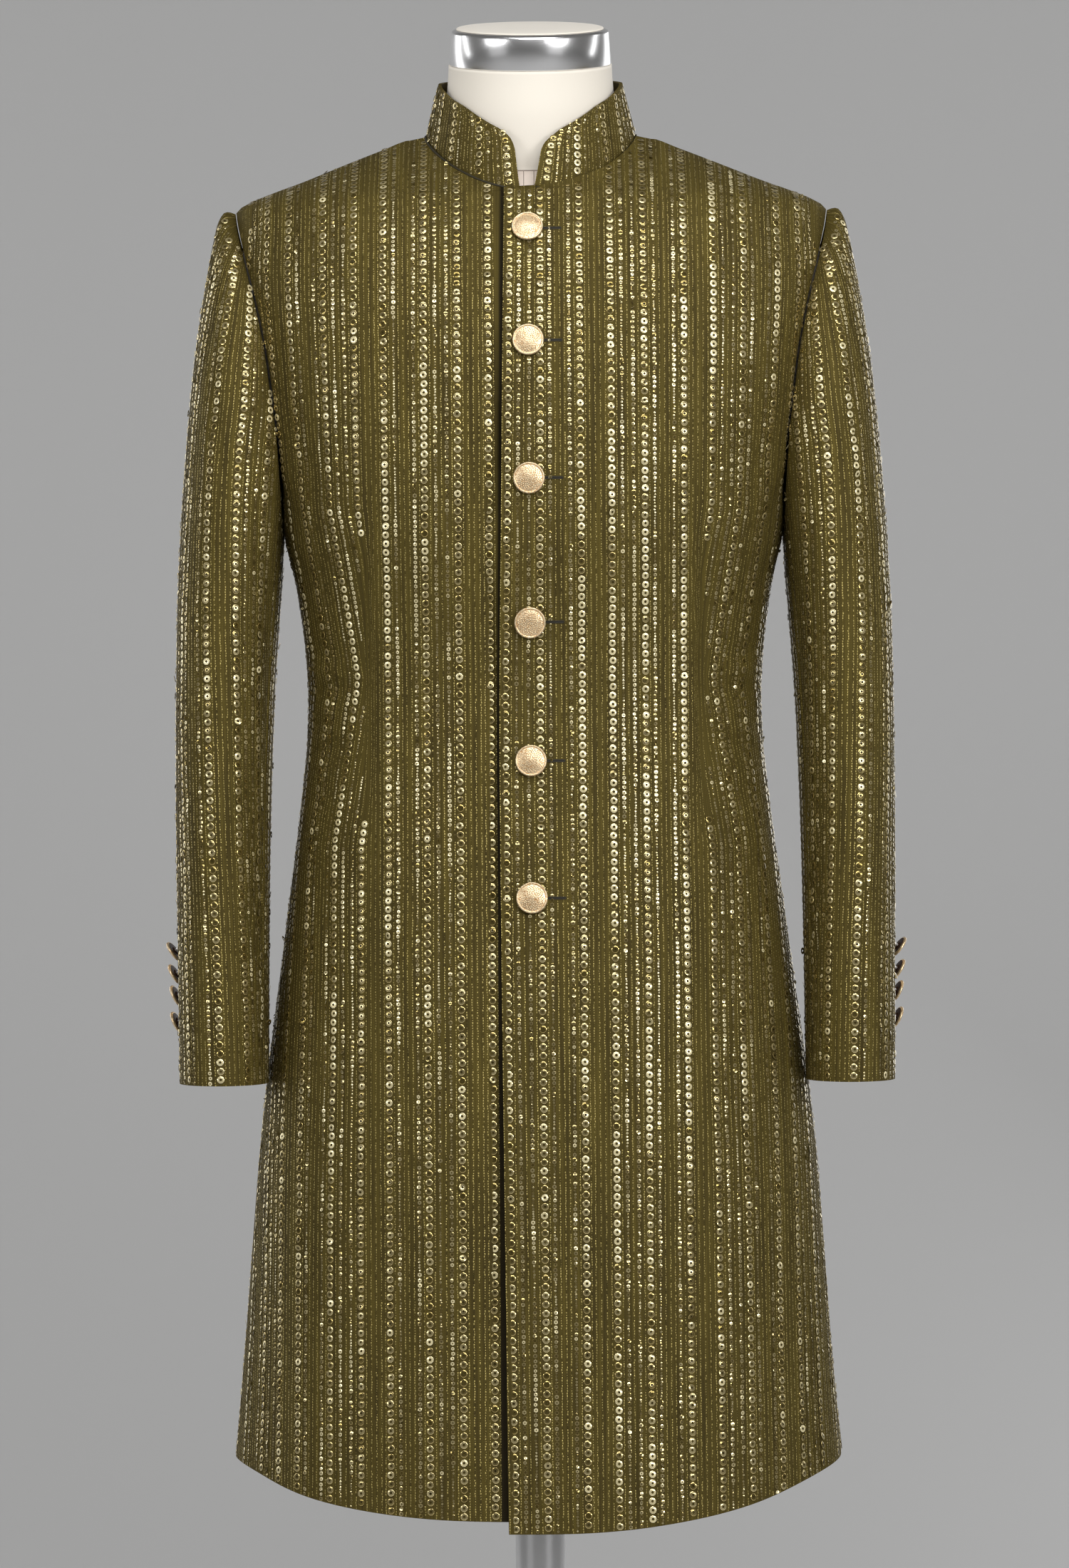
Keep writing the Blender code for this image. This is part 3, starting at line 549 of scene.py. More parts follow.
def body_heights(neck_angles):
    hem = HEM_Z + np.array([0.0, 0.0012, 0.0030, 0.0060])
    skirt = np.linspace(HEM_Z + 0.012, 0.900, 46)
    waist = np.linspace(0.906, 1.300, 62)
    chest = np.linspace(1.307, 1.4335, 20)
    return np.concatenate([hem, skirt, waist, chest, [1.4375, 1.4405], neckline_z(neck_angles)])


def body_grid(z, start, end, shares, dip):
    """Points and normals between two edges of the body, and their turns and heights."""
    turn = start[:, None] + (end - start)[:, None] * shares[None, :]
    level = z[:, None] + hem_shift(turn, z[:, None], dip)
    return body_point(turn, level), body_normal(turn, level), turn, level


def front_panel(name, side, dip, flute_phase):
    """A front: side 1 is the lapping one, side -1 the one below it."""
    z = body_heights(np.linspace(3.0, 84.0, 24))
    edge_x = read(LAP_EDGE, "x", z) if side > 0 else np.full_like(z, -UNDERLAP_X)
    start_x = np.where(z > NECKLINE_FRONT_Z, neckline_x(z), edge_x)
    start = turn_at_x(start_x, z)
    end = turn_beside_seam(z, SEAM / 4.0)
    in_armhole = (z > UNDERARM_Z) & (z < TIP_Z)
    end = np.where(in_armhole, np.minimum(end, armhole_turn(z)), end)
    shares = edge_shares(38, 0.0065)
    points, normals, turn, level = body_grid(z, start, end, shares, dip)
    lift = lap_lift(points[..., 0]) if side > 0 else 0.0
    across = front_across(turn, level)
    if side > 0:
        lean = read(LAP_EDGE, "x", level) - EDGE_STRAIGHT_X
        across -= lean * (1.0 - smooth_step(EDGE_STRAIGHT_X, 0.030, points[..., 0]))
    to_seam = np.abs(along_rows(points)[:, -1:] - along_rows(points))
    away = smooth_step(FLUTE_START, FLUTE_FULL, across)
    relief = loosened(FRONT_CREASES, across, level)
    relief += skirt_flutes(across, level, flute_phase) * away
    relief += seam_roll(to_seam) + dart_trough(FRONT_DART, points[..., 0], level)
    if side > 0:
        relief += edge_stand(along_rows(points))
    else:
        relief += under_edge(points[..., 0], z[:, None])
    return raised(name, points, normals, lift + relief, across, mirror=side < 0)


def back_panel():
    z = body_heights(np.linspace(3.0, 88.0, 22))
    nape = np.array([1.4912, 1.4930, 1.4960, 1.4990, 1.5015])
    z = np.concatenate([z, nape])
    start = turn_beside_seam(z, -SEAM / 4.0)
    in_armhole = (z > UNDERARM_Z) & (z < TIP_Z)
    start = np.where(in_armhole, np.maximum(start, 180.0 - armhole_turn(z)), start)
    start = np.where(z > NECKLINE_SIDE_Z, 180.0 - turn_at_x(neckline_x(z), z), start)
    shares = edge_shares(72, 0.0035)
    points, normals, turn, level = body_grid(z, start, 360.0 - start, shares, HEM_DIP_BACK)
    across = back_across(turn, level)
    lengths = along_rows(points)
    to_seam = np.minimum(lengths, lengths[:, -1:] - lengths)
    relief = loosened(BACK_CREASES, across, level)
    relief += skirt_flutes(across, level, BACK_FLUTE_PHASE)
    relief += seam_roll(to_seam) + dart_trough(BACK_DART, points[..., 0], level)
    return raised("back_cloth", points, normals, relief, across)


def armhole_point(angle):
    middle = (TIP_Z + UNDERARM_Z) / 2.0
    z = middle + (TIP_Z - UNDERARM_Z) / 2.0 * cosine(angle)
    turn = np.where(sine(angle) < 0.0, 180.0 - armhole_turn(z), armhole_turn(z))
    return body_point(turn, z) + np.array([SEAM, 0.0, 0.0])


def ring_point(angle, share):
    def column(name):
        return read(SLEEVE, name, share)

    outer = np.stack([column("outer_x"), column("middle_y"), column("outer_z")], -1)
    inner = np.stack([column("inner_x"), column("middle_y"), column("inner_z")], -1)
    points = (outer + inner) / 2.0 + (outer - inner) / 2.0 * cosine(angle)[..., None]
    points[..., 1] -= column("depth") * sine(angle)
    return points


def sleeve_point(angle, share):
    """Points of the +X sleeve: angle 0 is its outer edge, 90 its front, 180 its inner edge."""
    angle, share = np.broadcast_arrays(np.asarray(angle, float), np.asarray(share, float))
    fade = 1.0 - smooth_step(0.0, CAP_SHARE, share)
    away = armhole_point(angle) - ring_point(angle, np.zeros_like(share))
    return ring_point(angle, share) + away * fade[..., None]


def sleeve_normal(angle, share):
    around = sleeve_point(angle + 2.0, share) - sleeve_point(angle - 2.0, share)
    low, high = np.maximum(0.0, share - 0.01), np.minimum(1.0, share + 0.01)
    down = sleeve_point(angle, high) - sleeve_point(angle, low)
    return unit(np.cross(around, down))


def front_seam(share):
    return np.full_like(share, FRONT_SEAM)


def back_seam(share):
    return BACK_SEAM_TOP + (BACK_SEAM_CUFF - BACK_SEAM_TOP) * smooth_step(0.0, 0.9, share)


def tube_across(points, angle, middle):
    """Place across a sleeve's cloth: arcs round its level sections, so that stripes run down."""
    tube = [ring for ring in SLEEVE if ring.share >= TUBE_SHARE][::-1]
    heights = [(ring.outer_z + ring.inner_z) / 2.0 for ring in tube]
    z = points[..., 2]
    outer_x = np.interp(z, [ring.outer_z for ring in tube], [ring.outer_x for ring in tube])
    inner_x = np.interp(z, [ring.inner_z for ring in tube], [ring.inner_x for ring in tube])
    middle_y = np.interp(z, heights, [ring.middle_y for ring in tube])
    depth = np.interp(z, heights, [ring.depth for ring in tube])
    half = (outer_x - inner_x) / 2.0
    forward = (middle_y - points[..., 1]) / depth
    outward = (points[..., 0] - (outer_x + inner_x) / 2.0) / half
    heading = np.degrees(np.arctan2(forward, outward))
    heading = angle + (heading - angle + 180.0) % 360.0 - 180.0
    steps = middle + (heading - middle)[..., None] * np.linspace(0.0, 1.0, 49)
    speed = np.hypot(half[..., None] * sine(steps), depth[..., None] * cosine(steps))
    return speed.mean(-1) * np.radians(heading - middle)


def sleeve_panel(name, first, last, middle, columns, creases):
    """Half of a sleeve between two seams, given as angles for each share of its length."""
    shares = np.concatenate([
        [0.0, 0.006, 0.014, 0.026],
        np.linspace(0.040, 0.985, 70),
        [0.9905, 0.9955, 0.9985, 1.0],
    ])
    angle_step = sleeve_point(1.0, shares) - sleeve_point(-1.0, shares)
    gap = SEAM / 4.0 / (np.linalg.norm(angle_step, axis=-1) / 2.0)
    start, end = first(shares) + gap, last(shares) - gap
    spread = edge_shares(columns, 0.011)
    angle = start[:, None] + (end - start)[:, None] * spread[None, :]
    share = np.repeat(shares[:, None], len(spread), 1)
    points = sleeve_point(angle, share)
    normals = sleeve_normal(angle, share)
    across = tube_across(points, angle, middle)
    down = along_columns(points)
    lengths = along_rows(points)
    relief = crease_relief(creases, across, down)
    relief += seam_roll(np.minimum(lengths, lengths[:, -1:] - lengths)) + seam_roll(down)
    outer = points + normals * relief[..., None]
    outer, normals, across = outer[::-1], normals[::-1], across[::-1]
    return Panel(name, outer, outer - normals * WALL, normals, across, outer[..., 2], across,
                 False)


def top_sleeve_panel(name):
    return sleeve_panel(name, back_seam, front_seam, 0.0, 30, SLEEVE_CREASES)


def under_sleeve_panel(name):
    return sleeve_panel(name, front_seam, lambda share: back_seam(share) + 360.0, 180.0, 26, [])


def collar_point(angle, rise):
    """Outer surface of the band: rise 0 is its seam, 1 its upper edge."""
    angle, rise = np.broadcast_arrays(np.asarray(angle, float), np.asarray(rise, float))
    z = neckline_z(angle)
    x = NECKLINE_HALF * sine(angle)
    behind = cosine(angle) < 0.0
    turn = turn_at_x(x, z)
    turn = np.where(behind, 180.0 - turn, turn)
    foot = body_point(turn, z)
    lift = np.where((x > 0.0) & ~behind, lap_lift(x), 0.0)
    foot += body_normal(turn, z) * lift[..., None]
    top_y = COLLAR_TOP_Y - COLLAR_TOP_DEPTH * cosine(angle)
    from_front = np.minimum(angle % 360.0, -angle % 360.0)
    top_z = z + read(COLLAR_RISES, "rise", from_front)
    top = np.stack([COLLAR_TOP_HALF * sine(angle), top_y, top_z], -1)
    seam = 2.0 * SEAM / np.linalg.norm(top - foot, axis=-1)
    return foot + (top - foot) * (seam + (1.0 - seam) * rise)[..., None]


COLLAR_CORNER = 0.0075              # radius of the rounded upper corners
COLLAR_ROUNDING = 4.0               # and the angle that it takes in
COLLAR_WAVE = 0.0003


def collar_panel():
    rises = np.concatenate([[0.0, 0.03, 0.08], np.linspace(0.16, 0.84, 9), [0.92, 0.97, 1.0]])
    start = COLLAR_END_LEFT[0] + (COLLAR_END_LEFT[1] - COLLAR_END_LEFT[0]) * rises
    end = 360.0 - COLLAR_END_RIGHT[0] - (COLLAR_END_RIGHT[1] - COLLAR_END_RIGHT[0]) * rises
    end_rise = COLLAR_RISES[1].rise
    corner = np.clip((rises * end_rise - (end_rise - COLLAR_CORNER)) / COLLAR_CORNER, 0, 1)
    rounding = COLLAR_ROUNDING * (1.0 - np.sqrt(1.0 - corner ** 2))
    start, end = start + rounding, end - rounding
    shares = edge_shares(120, 0.0030)
    angle = start[:, None] + (end - start)[:, None] * shares[None, :]
    points = collar_point(angle, rises[:, None])
    around = collar_point(angle + 1.0, rises[:, None]) - collar_point(angle - 1.0, rises[:, None])
    upward = collar_point(angle, 1.0) - collar_point(angle, 0.0)
    normals = unit(np.cross(around, upward))
    lengths = along_rows(points)[len(rises) // 2]
    cut = np.repeat(lengths[None, :], len(rises), 0)
    across = np.minimum(cut, lengths[-1] - cut)
    waves = COLLAR_WAVE * np.sin(9.0 * math.pi * shares)[None, :]
    relief = seam_roll(along_columns(points)) + waves
    return raised("collar_cloth", points, normals, relief, across, cut, COLLAR_WALL)


SHARP_ANGLE = math.radians(50.0)
RIM_BULGE = 0.00015                 # how far a cloth's edge rounds out


def new_object(name, vertices, faces):
    mesh = bpy.data.meshes.new(name)
    mesh.vertices.add(len(vertices))
    mesh.vertices.foreach_set("co", np.asarray(vertices, np.float32).ravel())
    mesh.loops.add(faces.size)
    mesh.loops.foreach_set("vertex_index", faces.ravel().astype(np.int32))
    mesh.polygons.add(len(faces))
    sides = faces.shape[1]
    mesh.polygons.foreach_set("loop_start", np.arange(0, faces.size, sides, dtype=np.int32))
    mesh.update(calc_edges=True)
    mesh.validate()
    thing = bpy.data.objects.new(name, mesh)
    bpy.context.scene.collection.objects.link(thing)
    return thing


def mirrored(points):
    return points * np.array([-1.0, 1.0, 1.0])


def grid_faces(rows, columns, offset):
    i, j = np.meshgrid(np.arange(rows - 1), np.arange(columns - 1), indexing="ij")
    low = i * columns + j + offset
    return np.stack([low, low + 1, low + columns + 1, low + columns], -1).reshape(-1, 4)


def border_line(rows, columns):
    """Indices round the edge of a grid, the same way as its faces turn."""
    bottom = np.arange(columns)
    right = np.arange(1, rows) * columns + columns - 1
    top = np.arange(columns - 2, -1, -1) + (rows - 1) * columns
    left = np.arange(rows - 2, 0, -1) * columns
    return np.concatenate([bottom, right, top, left])


def ring_faces(rings, sides, wrap=False):
    """Four-sided faces between rings of points; wrap joins the last ring to the first."""
    ring, side = np.meshgrid(np.arange(rings if wrap else rings - 1), np.arange(sides),
                             indexing="ij")
    low, high, after = ring * sides, (ring + 1) % rings * sides, (side + 1) % sides
    return np.stack([low + side, low + after, high + after, high + side], -1).reshape(-1, 4)


def map_and_shade(thing, name, spots, faces, *materials):
    """Lay a map of every point on the mesh, and give it its materials and soft shading."""
    layer = thing.data.uv_layers.new(name=name)
    layer.data.foreach_set("uv", spots[faces.ravel()].astype(np.float32).ravel())
    for material in materials:
        thing.data.materials.append(material)
    thing.data.shade_smooth()
    thing.data.set_sharp_from_angle(angle=SHARP_ANGLE)


def cloth_piece(panel, mirror, cloth, inside):
    """Close a panel into one wall with a rounded edge, mapped in metres of flat cloth."""
    rows, columns = panel.across.shape
    count = rows * columns
    border = border_line(rows, columns)
    outer, inner = panel.outer.reshape(-1, 3), panel.inner.reshape(-1, 3)
    middle = (outer + inner)[border] / 2.0
    normals = panel.normals.reshape(-1, 3)[border]
    run = np.roll(middle, -1, 0) - np.roll(middle, 1, 0)
    middle += unit(np.cross(run, normals)) * RIM_BULGE
    vertices = np.concatenate([outer, inner, middle])
    if mirror:
        vertices = mirrored(vertices)
    here = 2 * count + np.arange(len(border))
    there, onward = np.roll(here, -1), np.roll(border, -1)
    faces = np.concatenate([
        grid_faces(rows, columns, 0),
        grid_faces(rows, columns, count)[:, ::-1],
        np.stack([border, here, there, onward], -1),
        np.stack([here, count + border, count + onward, there], -1),
    ])
    if mirror:
        faces = faces[:, ::-1]
    thing = new_object(panel.name, vertices, faces)
    flat = np.stack([panel.across, panel.along], -1).reshape(-1, 2)
    flat = np.concatenate([flat, flat, flat[border]])
    map_and_shade(thing, "FlatCloth", flat, faces, cloth, inside)
    outer_faces = (rows - 1) * (columns - 1)
    slots = np.zeros(len(faces), np.int32)
    slots[outer_faces : 2 * outer_faces] = 1
    thing.data.polygons.foreach_set("material_index", slots)
    return thing


def flat_area(panel):
    """Area of the flat cut, from the outline in the cloth's own measures."""
    border = border_line(*panel.cut.shape)
    u, v = panel.cut.ravel()[border], panel.along.ravel()[border]
    return abs(np.sum(u * np.roll(v, -1) - v * np.roll(u, -1))) / 2.0


# Sequins: rings of points round a disc, as (radius, height) shares of the disc's radius
SEQUIN_SIDES = 9
SEQUIN_RINGS = [(1.00, 0.00), (0.88, 0.070), (0.30, 0.040)]
SPANGLE_SIDES = 6
SPANGLE_TIP = 0.16


def sequin_shape():
    """A flat ring with a turned edge and a hole, closed below."""
    steps = np.arange(SEQUIN_SIDES) * math.tau / SEQUIN_SIDES
    rings = [
        np.stack([r * np.cos(steps), r * np.sin(steps), np.full_like(steps, h)], -1)
        for r, h in SEQUIN_RINGS
    ]
    faces = ring_faces(len(SEQUIN_RINGS), SEQUIN_SIDES, wrap=True)
    radial = np.repeat([r for r, _ in SEQUIN_RINGS], SEQUIN_SIDES)
    return np.concatenate(rings), faces, radial


def spangle_shape():
    """A small low cone on a flat foot; its hole is in the finish."""
    steps = np.arange(SPANGLE_SIDES) * math.tau / SPANGLE_SIDES
    rim = np.stack([np.cos(steps), np.sin(steps), np.zeros_like(steps)], -1)
    sides = [[n, (n + 1) % SPANGLE_SIDES, SPANGLE_SIDES] for n in range(SPANGLE_SIDES)]
    foot = [[0, n + 1, n] for n in range(1, SPANGLE_SIDES - 1)]
    radial = np.concatenate([np.ones(SPANGLE_SIDES), [0.0]])
    return np.concatenate([rim, [[0.0, 0.0, SPANGLE_TIP]]]), np.array(sides + foot), radial


def stripe_line(panel, across):
    """Points and normals where one stripe crosses the panel's rows, in unbroken runs."""
    columns = np.arange(panel.across.shape[1])
    points, normals, keep = [], [], []
    for row in range(panel.cut.shape[0]):
        line = panel.cut[row]
        if not line.min() < across < line.max():
            points.append(panel.outer[row, 0])
            normals.append(panel.normals[row, 0])
            keep.append(False)
            continue
        place = np.interp(across, line, columns)
        j = min(int(place), len(columns) - 2)
        share = place - j
        spacing = np.linalg.norm(panel.outer[row, j + 1] - panel.outer[row, j])
        points.append(panel.outer[row, j] * (1 - share) + panel.outer[row, j + 1] * share)
        normals.append(panel.normals[row, j] * (1 - share) + panel.normals[row, j + 1] * share)
        keep.append(line[j + 1] - line[j] < 1.5 * spacing + 0.0002)
    return np.array(points), unit(np.array(normals)), np.array(keep)


def runs_of(keep):
    """Start and end of each unbroken run of true values."""
    edges = np.flatnonzero(np.diff(np.concatenate([[0], keep.astype(int), [0]])))
    return [(a, b) for a, b in zip(edges[::2], edges[1::2]) if b - a > 2]


def sequin_places(length, random):
    count = max(0, int((length - 2.2 * SEQUIN_RADIUS) / SEQUIN_PITCH) + 1)
    slack = length - (count - 1) * SEQUIN_PITCH
    places = slack / 2.0 + np.arange(count) * SEQUIN_PITCH
    places += random.normal(0.0, SEQUIN_DRIFT, count)
    return places, SEQUIN_RADIUS * random.uniform(*SEQUIN_SIZES, count)


def spangle_places(length, random):
    """Small sequins and beads in turn, in uneven runs, each just clear of the next."""
    kinds = np.repeat(random.random(SPANGLE_DRAWS) < SPANGLE_SHARE,
                      random.integers(*SPANGLE_RUN, SPANGLE_DRAWS))
    radii = np.where(kinds, SPANGLE_RADIUS, BEAD_RADIUS)
    radii = radii * random.uniform(*SPANGLE_SIZES, len(kinds))
    gaps = random.uniform(*SPANGLE_GAPS, len(radii) - 1) + radii[:-1] + radii[1:]
    places = SPANGLE_MARGIN + np.concatenate([[0.0], np.cumsum(gaps)])
    inside = places < length - SPANGLE_MARGIN
    return places[inside], radii[inside]


# Where painted glints, runs of discs painted bright, crowd beside the buttons
GLINT_ZONES = table("x half share", (0.078, 0.046, 0.44), (-0.112, 0.055, 0.34))
GLINT_SHARE = 0.055
GLINT_RISE, GLINT_FALL = (0.66, 0.90), (1.27, 1.40)
GLINT_RUN, GLINT_STRAYS = (3, 15), 0.05
PAINTED_GLINT_LEVELS, PAINTED_SHADE_LEVELS = (0.72, 1.0), (0.0, 0.45)


def painted_disc_light(x, z, random):
    """Painted light of each disc: glinting runs painted bright among discs painted in shade,
    thickest beside the buttons.
    """
    count = len(x)
    runs = np.repeat(random.random(count), random.integers(*GLINT_RUN, count))[:count]
    level = smooth_step(*GLINT_RISE, z) * (1.0 - smooth_step(*GLINT_FALL, z))
    chance = GLINT_SHARE + level * sum(
        zone.share * np.exp(-((x - zone.x) / zone.half) ** 2) for zone in GLINT_ZONES
    )
    bright = (runs < chance) ^ (random.random(count) < GLINT_STRAYS)
    painted_lights = random.uniform(*PAINTED_GLINT_LEVELS, count), random.uniform(*PAINTED_SHADE_LEVELS, count)
    return np.where(bright, *painted_lights)


def disc_frames(points, tangents, normals, random, scatter):
    """Right-handed frames on the cloth, each tipped a little its own way."""
    normals = unit(normals)
    sideways = unit(np.cross(tangents, normals))
    heading = random.uniform(0.0, math.tau, len(points))
    tip = np.abs(random.normal(0.0, scatter, len(points)))
    loose = random.random(len(points)) < LOOSE_SHARE
    tip = np.where(loose, tip * LOOSE_TIP, tip)
    tipped = normals + (
        sideways * np.cos(heading)[:, None] + unit(tangents) * np.sin(heading)[:, None]
    ) * np.tan(tip)[:, None]
    up = unit(tipped)
    first = unit(np.cross(up, sideways))
    return np.stack([first, np.cross(up, first), up], 1), tip


TIP_SEQUIN = math.radians(4.5)
TIP_SPANGLE = math.radians(9.0)


def stripe_places(panel, kind, phase):
    """Where the stripes of one kind lie, in the measure of the panel's cut."""
    low, high = panel.across.min(), panel.across.max()
    places = []
    for offset in STRIPES[kind]:
        start = phase + offset
        first, last = math.ceil((low - start) / REPEAT), math.floor((high - start) / REPEAT)
        places += [start + number * REPEAT for number in range(first, last + 1)]
    if panel.cut.max() > high + SEQUIN_PITCH:
        places += [panel.cut.max() - place for place in places]
    return places


def sew_discs(panel, mirror, kind, phase, first_across, material, random):
    """Sew one kind of disc along its stripes all over a panel, as one mesh."""
    shape, shape_faces, radial = sequin_shape() if kind == "sequin" else spangle_shape()
    scatter = TIP_SEQUIN if kind == "sequin" else TIP_SPANGLE
    runs = [
        run for across in stripe_places(panel, kind, phase) if across >= first_across
        for run in lay_stripe(panel, across, kind, scatter, random)
    ]
    centres, frames, radii = (np.concatenate(part) for part in zip(*runs))
    count = len(centres)
    spots = np.einsum("kc,ncd->nkd", shape, frames) * radii[:, None, None]
    vertices = (centres[:, None, :] + spots).reshape(-1, 3)
    faces = shape_faces[None] + np.arange(count)[:, None, None] * len(shape)
    faces = faces.reshape(-1, shape_faces.shape[1])
    if mirror:
        vertices, faces = mirrored(vertices), faces[:, ::-1]
    thing = new_object(panel.name.replace("cloth", kind + "s"), vertices, faces)
    # Each disc's painted light, glinting or in shade, goes into its map beside its radius.
    painted_lights = painted_disc_light(centres[:, 0] * (-1.0 if mirror else 1.0), centres[:, 2], random)
    painted_light = np.repeat(painted_lights, len(shape))
    finish = np.stack([np.tile(radial, count), painted_light], -1)
    map_and_shade(thing, "DiscFinish", finish, faces, material)
    return thing


def lay_stripe(panel, across, kind, scatter, random):
    """Centres, frames and radii of the discs along each unbroken run of one stripe."""
    points, normals, keep = stripe_line(panel, across)
    margin = SEQUIN_RADIUS if kind == "sequin" else SPANGLE_RADIUS
    for a, b in runs_of(keep):
        line, up = points[a:b], normals[a:b]
        steps = np.linalg.norm(np.diff(line, axis=0), axis=-1)
        reach = np.concatenate([[0.0], np.cumsum(steps)])
        if reach[-1] < 4.0 * margin:
            continue
        places = sequin_places if kind == "sequin" else spangle_places
        spots, radii = places(reach[-1], random)
        if not len(spots):
            continue

        def sample(values):
            return np.stack([np.interp(spots, reach, values[:, n]) for n in range(3)], -1)

        centre, normal = sample(line), unit(sample(up))
        tangent = unit(sample(np.gradient(line, axis=0)))
        basis, tip = disc_frames(centre, tangent, normal, random, scatter)
        drift = random.normal(0.0, DISC_ASIDE, len(spots))[:, None]
        aside = np.cross(tangent, normal) * drift
        height = DISC_LIFT + radii * np.sin(np.minimum(tip, DISC_TIP_MOST))
        yield centre + aside + normal * height[:, None], basis, radii


def select_all(action):
    bpy.ops.mesh.select_all(action=action)


def begin(name, add, **settings):
    """A primitive at its size and place, opened for editing with all of it selected."""
    bpy.ops.object.select_all(action="DESELECT")
    add(**settings)
    thing = bpy.context.object
    thing.name = thing.data.name = name
    bpy.ops.object.transform_apply(location=True, rotation=True, scale=True)
    bpy.ops.object.mode_set(mode="EDIT")
    select_all("SELECT")
    return thing


def finish(thing, angle=40.0):
    """Close the edit: faces outward, smooth with sharp edges kept."""
    select_all("SELECT")
    bpy.ops.mesh.normals_make_consistent(inside=False)
    bpy.ops.object.mode_set(mode="OBJECT")
    bpy.ops.object.shade_smooth_by_angle(angle=math.radians(angle))
    return thing


def raise_profile(profile):
    """Extrude what is selected through (radius, height) steps about Z."""
    for (radius, height), (wider, higher) in zip(profile, profile[1:]):
        bpy.ops.mesh.extrude_region_move(
            TRANSFORM_OT_translate={"value": (0.0, 0.0, higher - height)}
        )
        ratio = wider / radius
        bpy.ops.transform.resize(value=(ratio, ratio, 1.0))


def turned(name, profile, segments, angle=40.0):
    """A solid piece turned about Z, from its foot up."""
    radius, height = profile[0]
    thing = begin(name, bpy.ops.mesh.primitive_circle_add, vertices=segments, radius=radius,
                  fill_type="NGON", location=(0.0, 0.0, height))
    raise_profile(profile)
    return finish(thing, angle)


def turned_ring(name, profile, segments):
    """A ring turned about Z; its profile comes back to where it began."""
    radius, height = profile[0]
    thing = begin(name, bpy.ops.mesh.primitive_circle_add, vertices=segments, radius=radius,
                  fill_type="NOTHING", location=(0.0, 0.0, height))
    raise_profile(profile + profile[:1])
    select_all("SELECT")
    bpy.ops.mesh.remove_doubles(threshold=1e-6)
    return finish(thing)


def choose(thing, test):
    """Select the vertices that pass a test, and leave the piece open for editing."""
    bpy.ops.object.mode_set(mode="EDIT")
    select_all("DESELECT")
    bpy.ops.object.mode_set(mode="OBJECT")
    mesh = thing.data
    places = np.empty(3 * len(mesh.vertices))
    mesh.vertices.foreach_get("co", places)
    mesh.vertices.foreach_set("select", test(places.reshape(-1, 3)))
    bpy.ops.object.mode_set(mode="EDIT")


def join(parts):
    bpy.ops.object.select_all(action="DESELECT")
    for part in parts:
        part.select_set(True)
    bpy.context.view_layer.objects.active = parts[0]
    bpy.ops.object.join()
    return parts[0]


def copy_of(thing, name, matrix):
    """A copy with its own mesh, set at its place."""
    copy = thing.copy()
    copy.data = thing.data.copy()
    copy.name = copy.data.name = name
    copy.data.transform(matrix)
    bpy.context.scene.collection.objects.link(copy)
    return copy


def stamped(name, shape, places, scales):
    """One mesh that repeats a small shape at many places."""
    count = len(shape.data.vertices)
    points = np.empty(3 * count)
    shape.data.vertices.foreach_get("co", points)
    corners = np.array([list(face.vertices) for face in shape.data.polygons])
    spots = places[:, None, :] + points.reshape(1, -1, 3) * scales[:, None, None]
    faces = corners[None] + (np.arange(len(places)) * count)[:, None, None]
    return new_object(name, spots.reshape(-1, 3), faces.reshape(-1, corners.shape[1]))


# Buttons, as shares of the button's radius
RIM_PROFILE = [
    (0.760, 0.120), (0.850, 0.142), (0.930, 0.165), (0.980, 0.200), (1.000, 0.245), (0.995, 0.300),
    (0.970, 0.345), (0.930, 0.368), (0.890, 0.352), (0.862, 0.318), (0.852, 0.300),
]
DOME_EDGE, DOME_FOOT, DOME_CROWN = 0.845, 0.296, 0.452
DOME_STEPS, DOME_LAST_TURN = 6, 0.47 * math.pi
POST_PROFILE = [(0.20, 0.0), (0.22, 0.02), (0.20, 0.07), (0.26, 0.135)]
HUB_PROFILE = [(0.26, 0.02), (0.34, 0.05), (0.40, 0.10), (0.36, 0.135)]
UNDERSIDE_RADIUS = 0.84
GRAIN_COUNT = 130
GRAIN_RADIUS = 0.056
GRAIN_FLATNESS, GRAIN_SIZES = 0.7, (0.75, 1.10)
GOLDEN_TURN = math.pi * (3.0 - math.sqrt(5.0))


def dome_height(radius):
    return DOME_FOOT + (DOME_CROWN - DOME_FOOT) * (1.0 - (radius / DOME_EDGE) ** 2)


def button_head(metal, underside):
    """Rim and stippled dome of a button one metre in radius, to be scaled down."""
    shares = np.cos(np.linspace(0.0, DOME_LAST_TURN, DOME_STEPS))
    dome = [(DOME_EDGE * share, dome_height(DOME_EDGE * share)) for share in shares]
    head = turned("button_head", RIM_PROFILE + dome, 40, 60.0)
    head.data.materials.append(metal)
    head.data.materials.append(underside)
    # Downward faces inside the rim take the dark underside colour, painted shade.
    for face in head.data.polygons:
        within = math.hypot(face.center.x, face.center.y) < UNDERSIDE_RADIUS
        face.material_index = 1 if face.normal.z < -0.2 and within else 0
    grain = begin("grain", bpy.ops.mesh.primitive_ico_sphere_add, subdivisions=1,
                  radius=GRAIN_RADIUS)
    bpy.ops.transform.resize(value=(1.0, 1.0, GRAIN_FLATNESS))
    finish(grain, 180.0)
    random = np.random.default_rng(SEED + 1)
    number = np.arange(GRAIN_COUNT) + 0.5
    radius = (DOME_EDGE - GRAIN_RADIUS) * np.sqrt(number / GRAIN_COUNT)
    turn = number * GOLDEN_TURN
    places = np.stack([radius * np.cos(turn), radius * np.sin(turn), dome_height(radius)], -1)
    grains = stamped("grains", grain, places, random.uniform(*GRAIN_SIZES, GRAIN_COUNT))
    grains.data.shade_smooth()
    grains.data.materials.append(metal)
    bpy.data.objects.remove(grain)
    return join([head, grains])


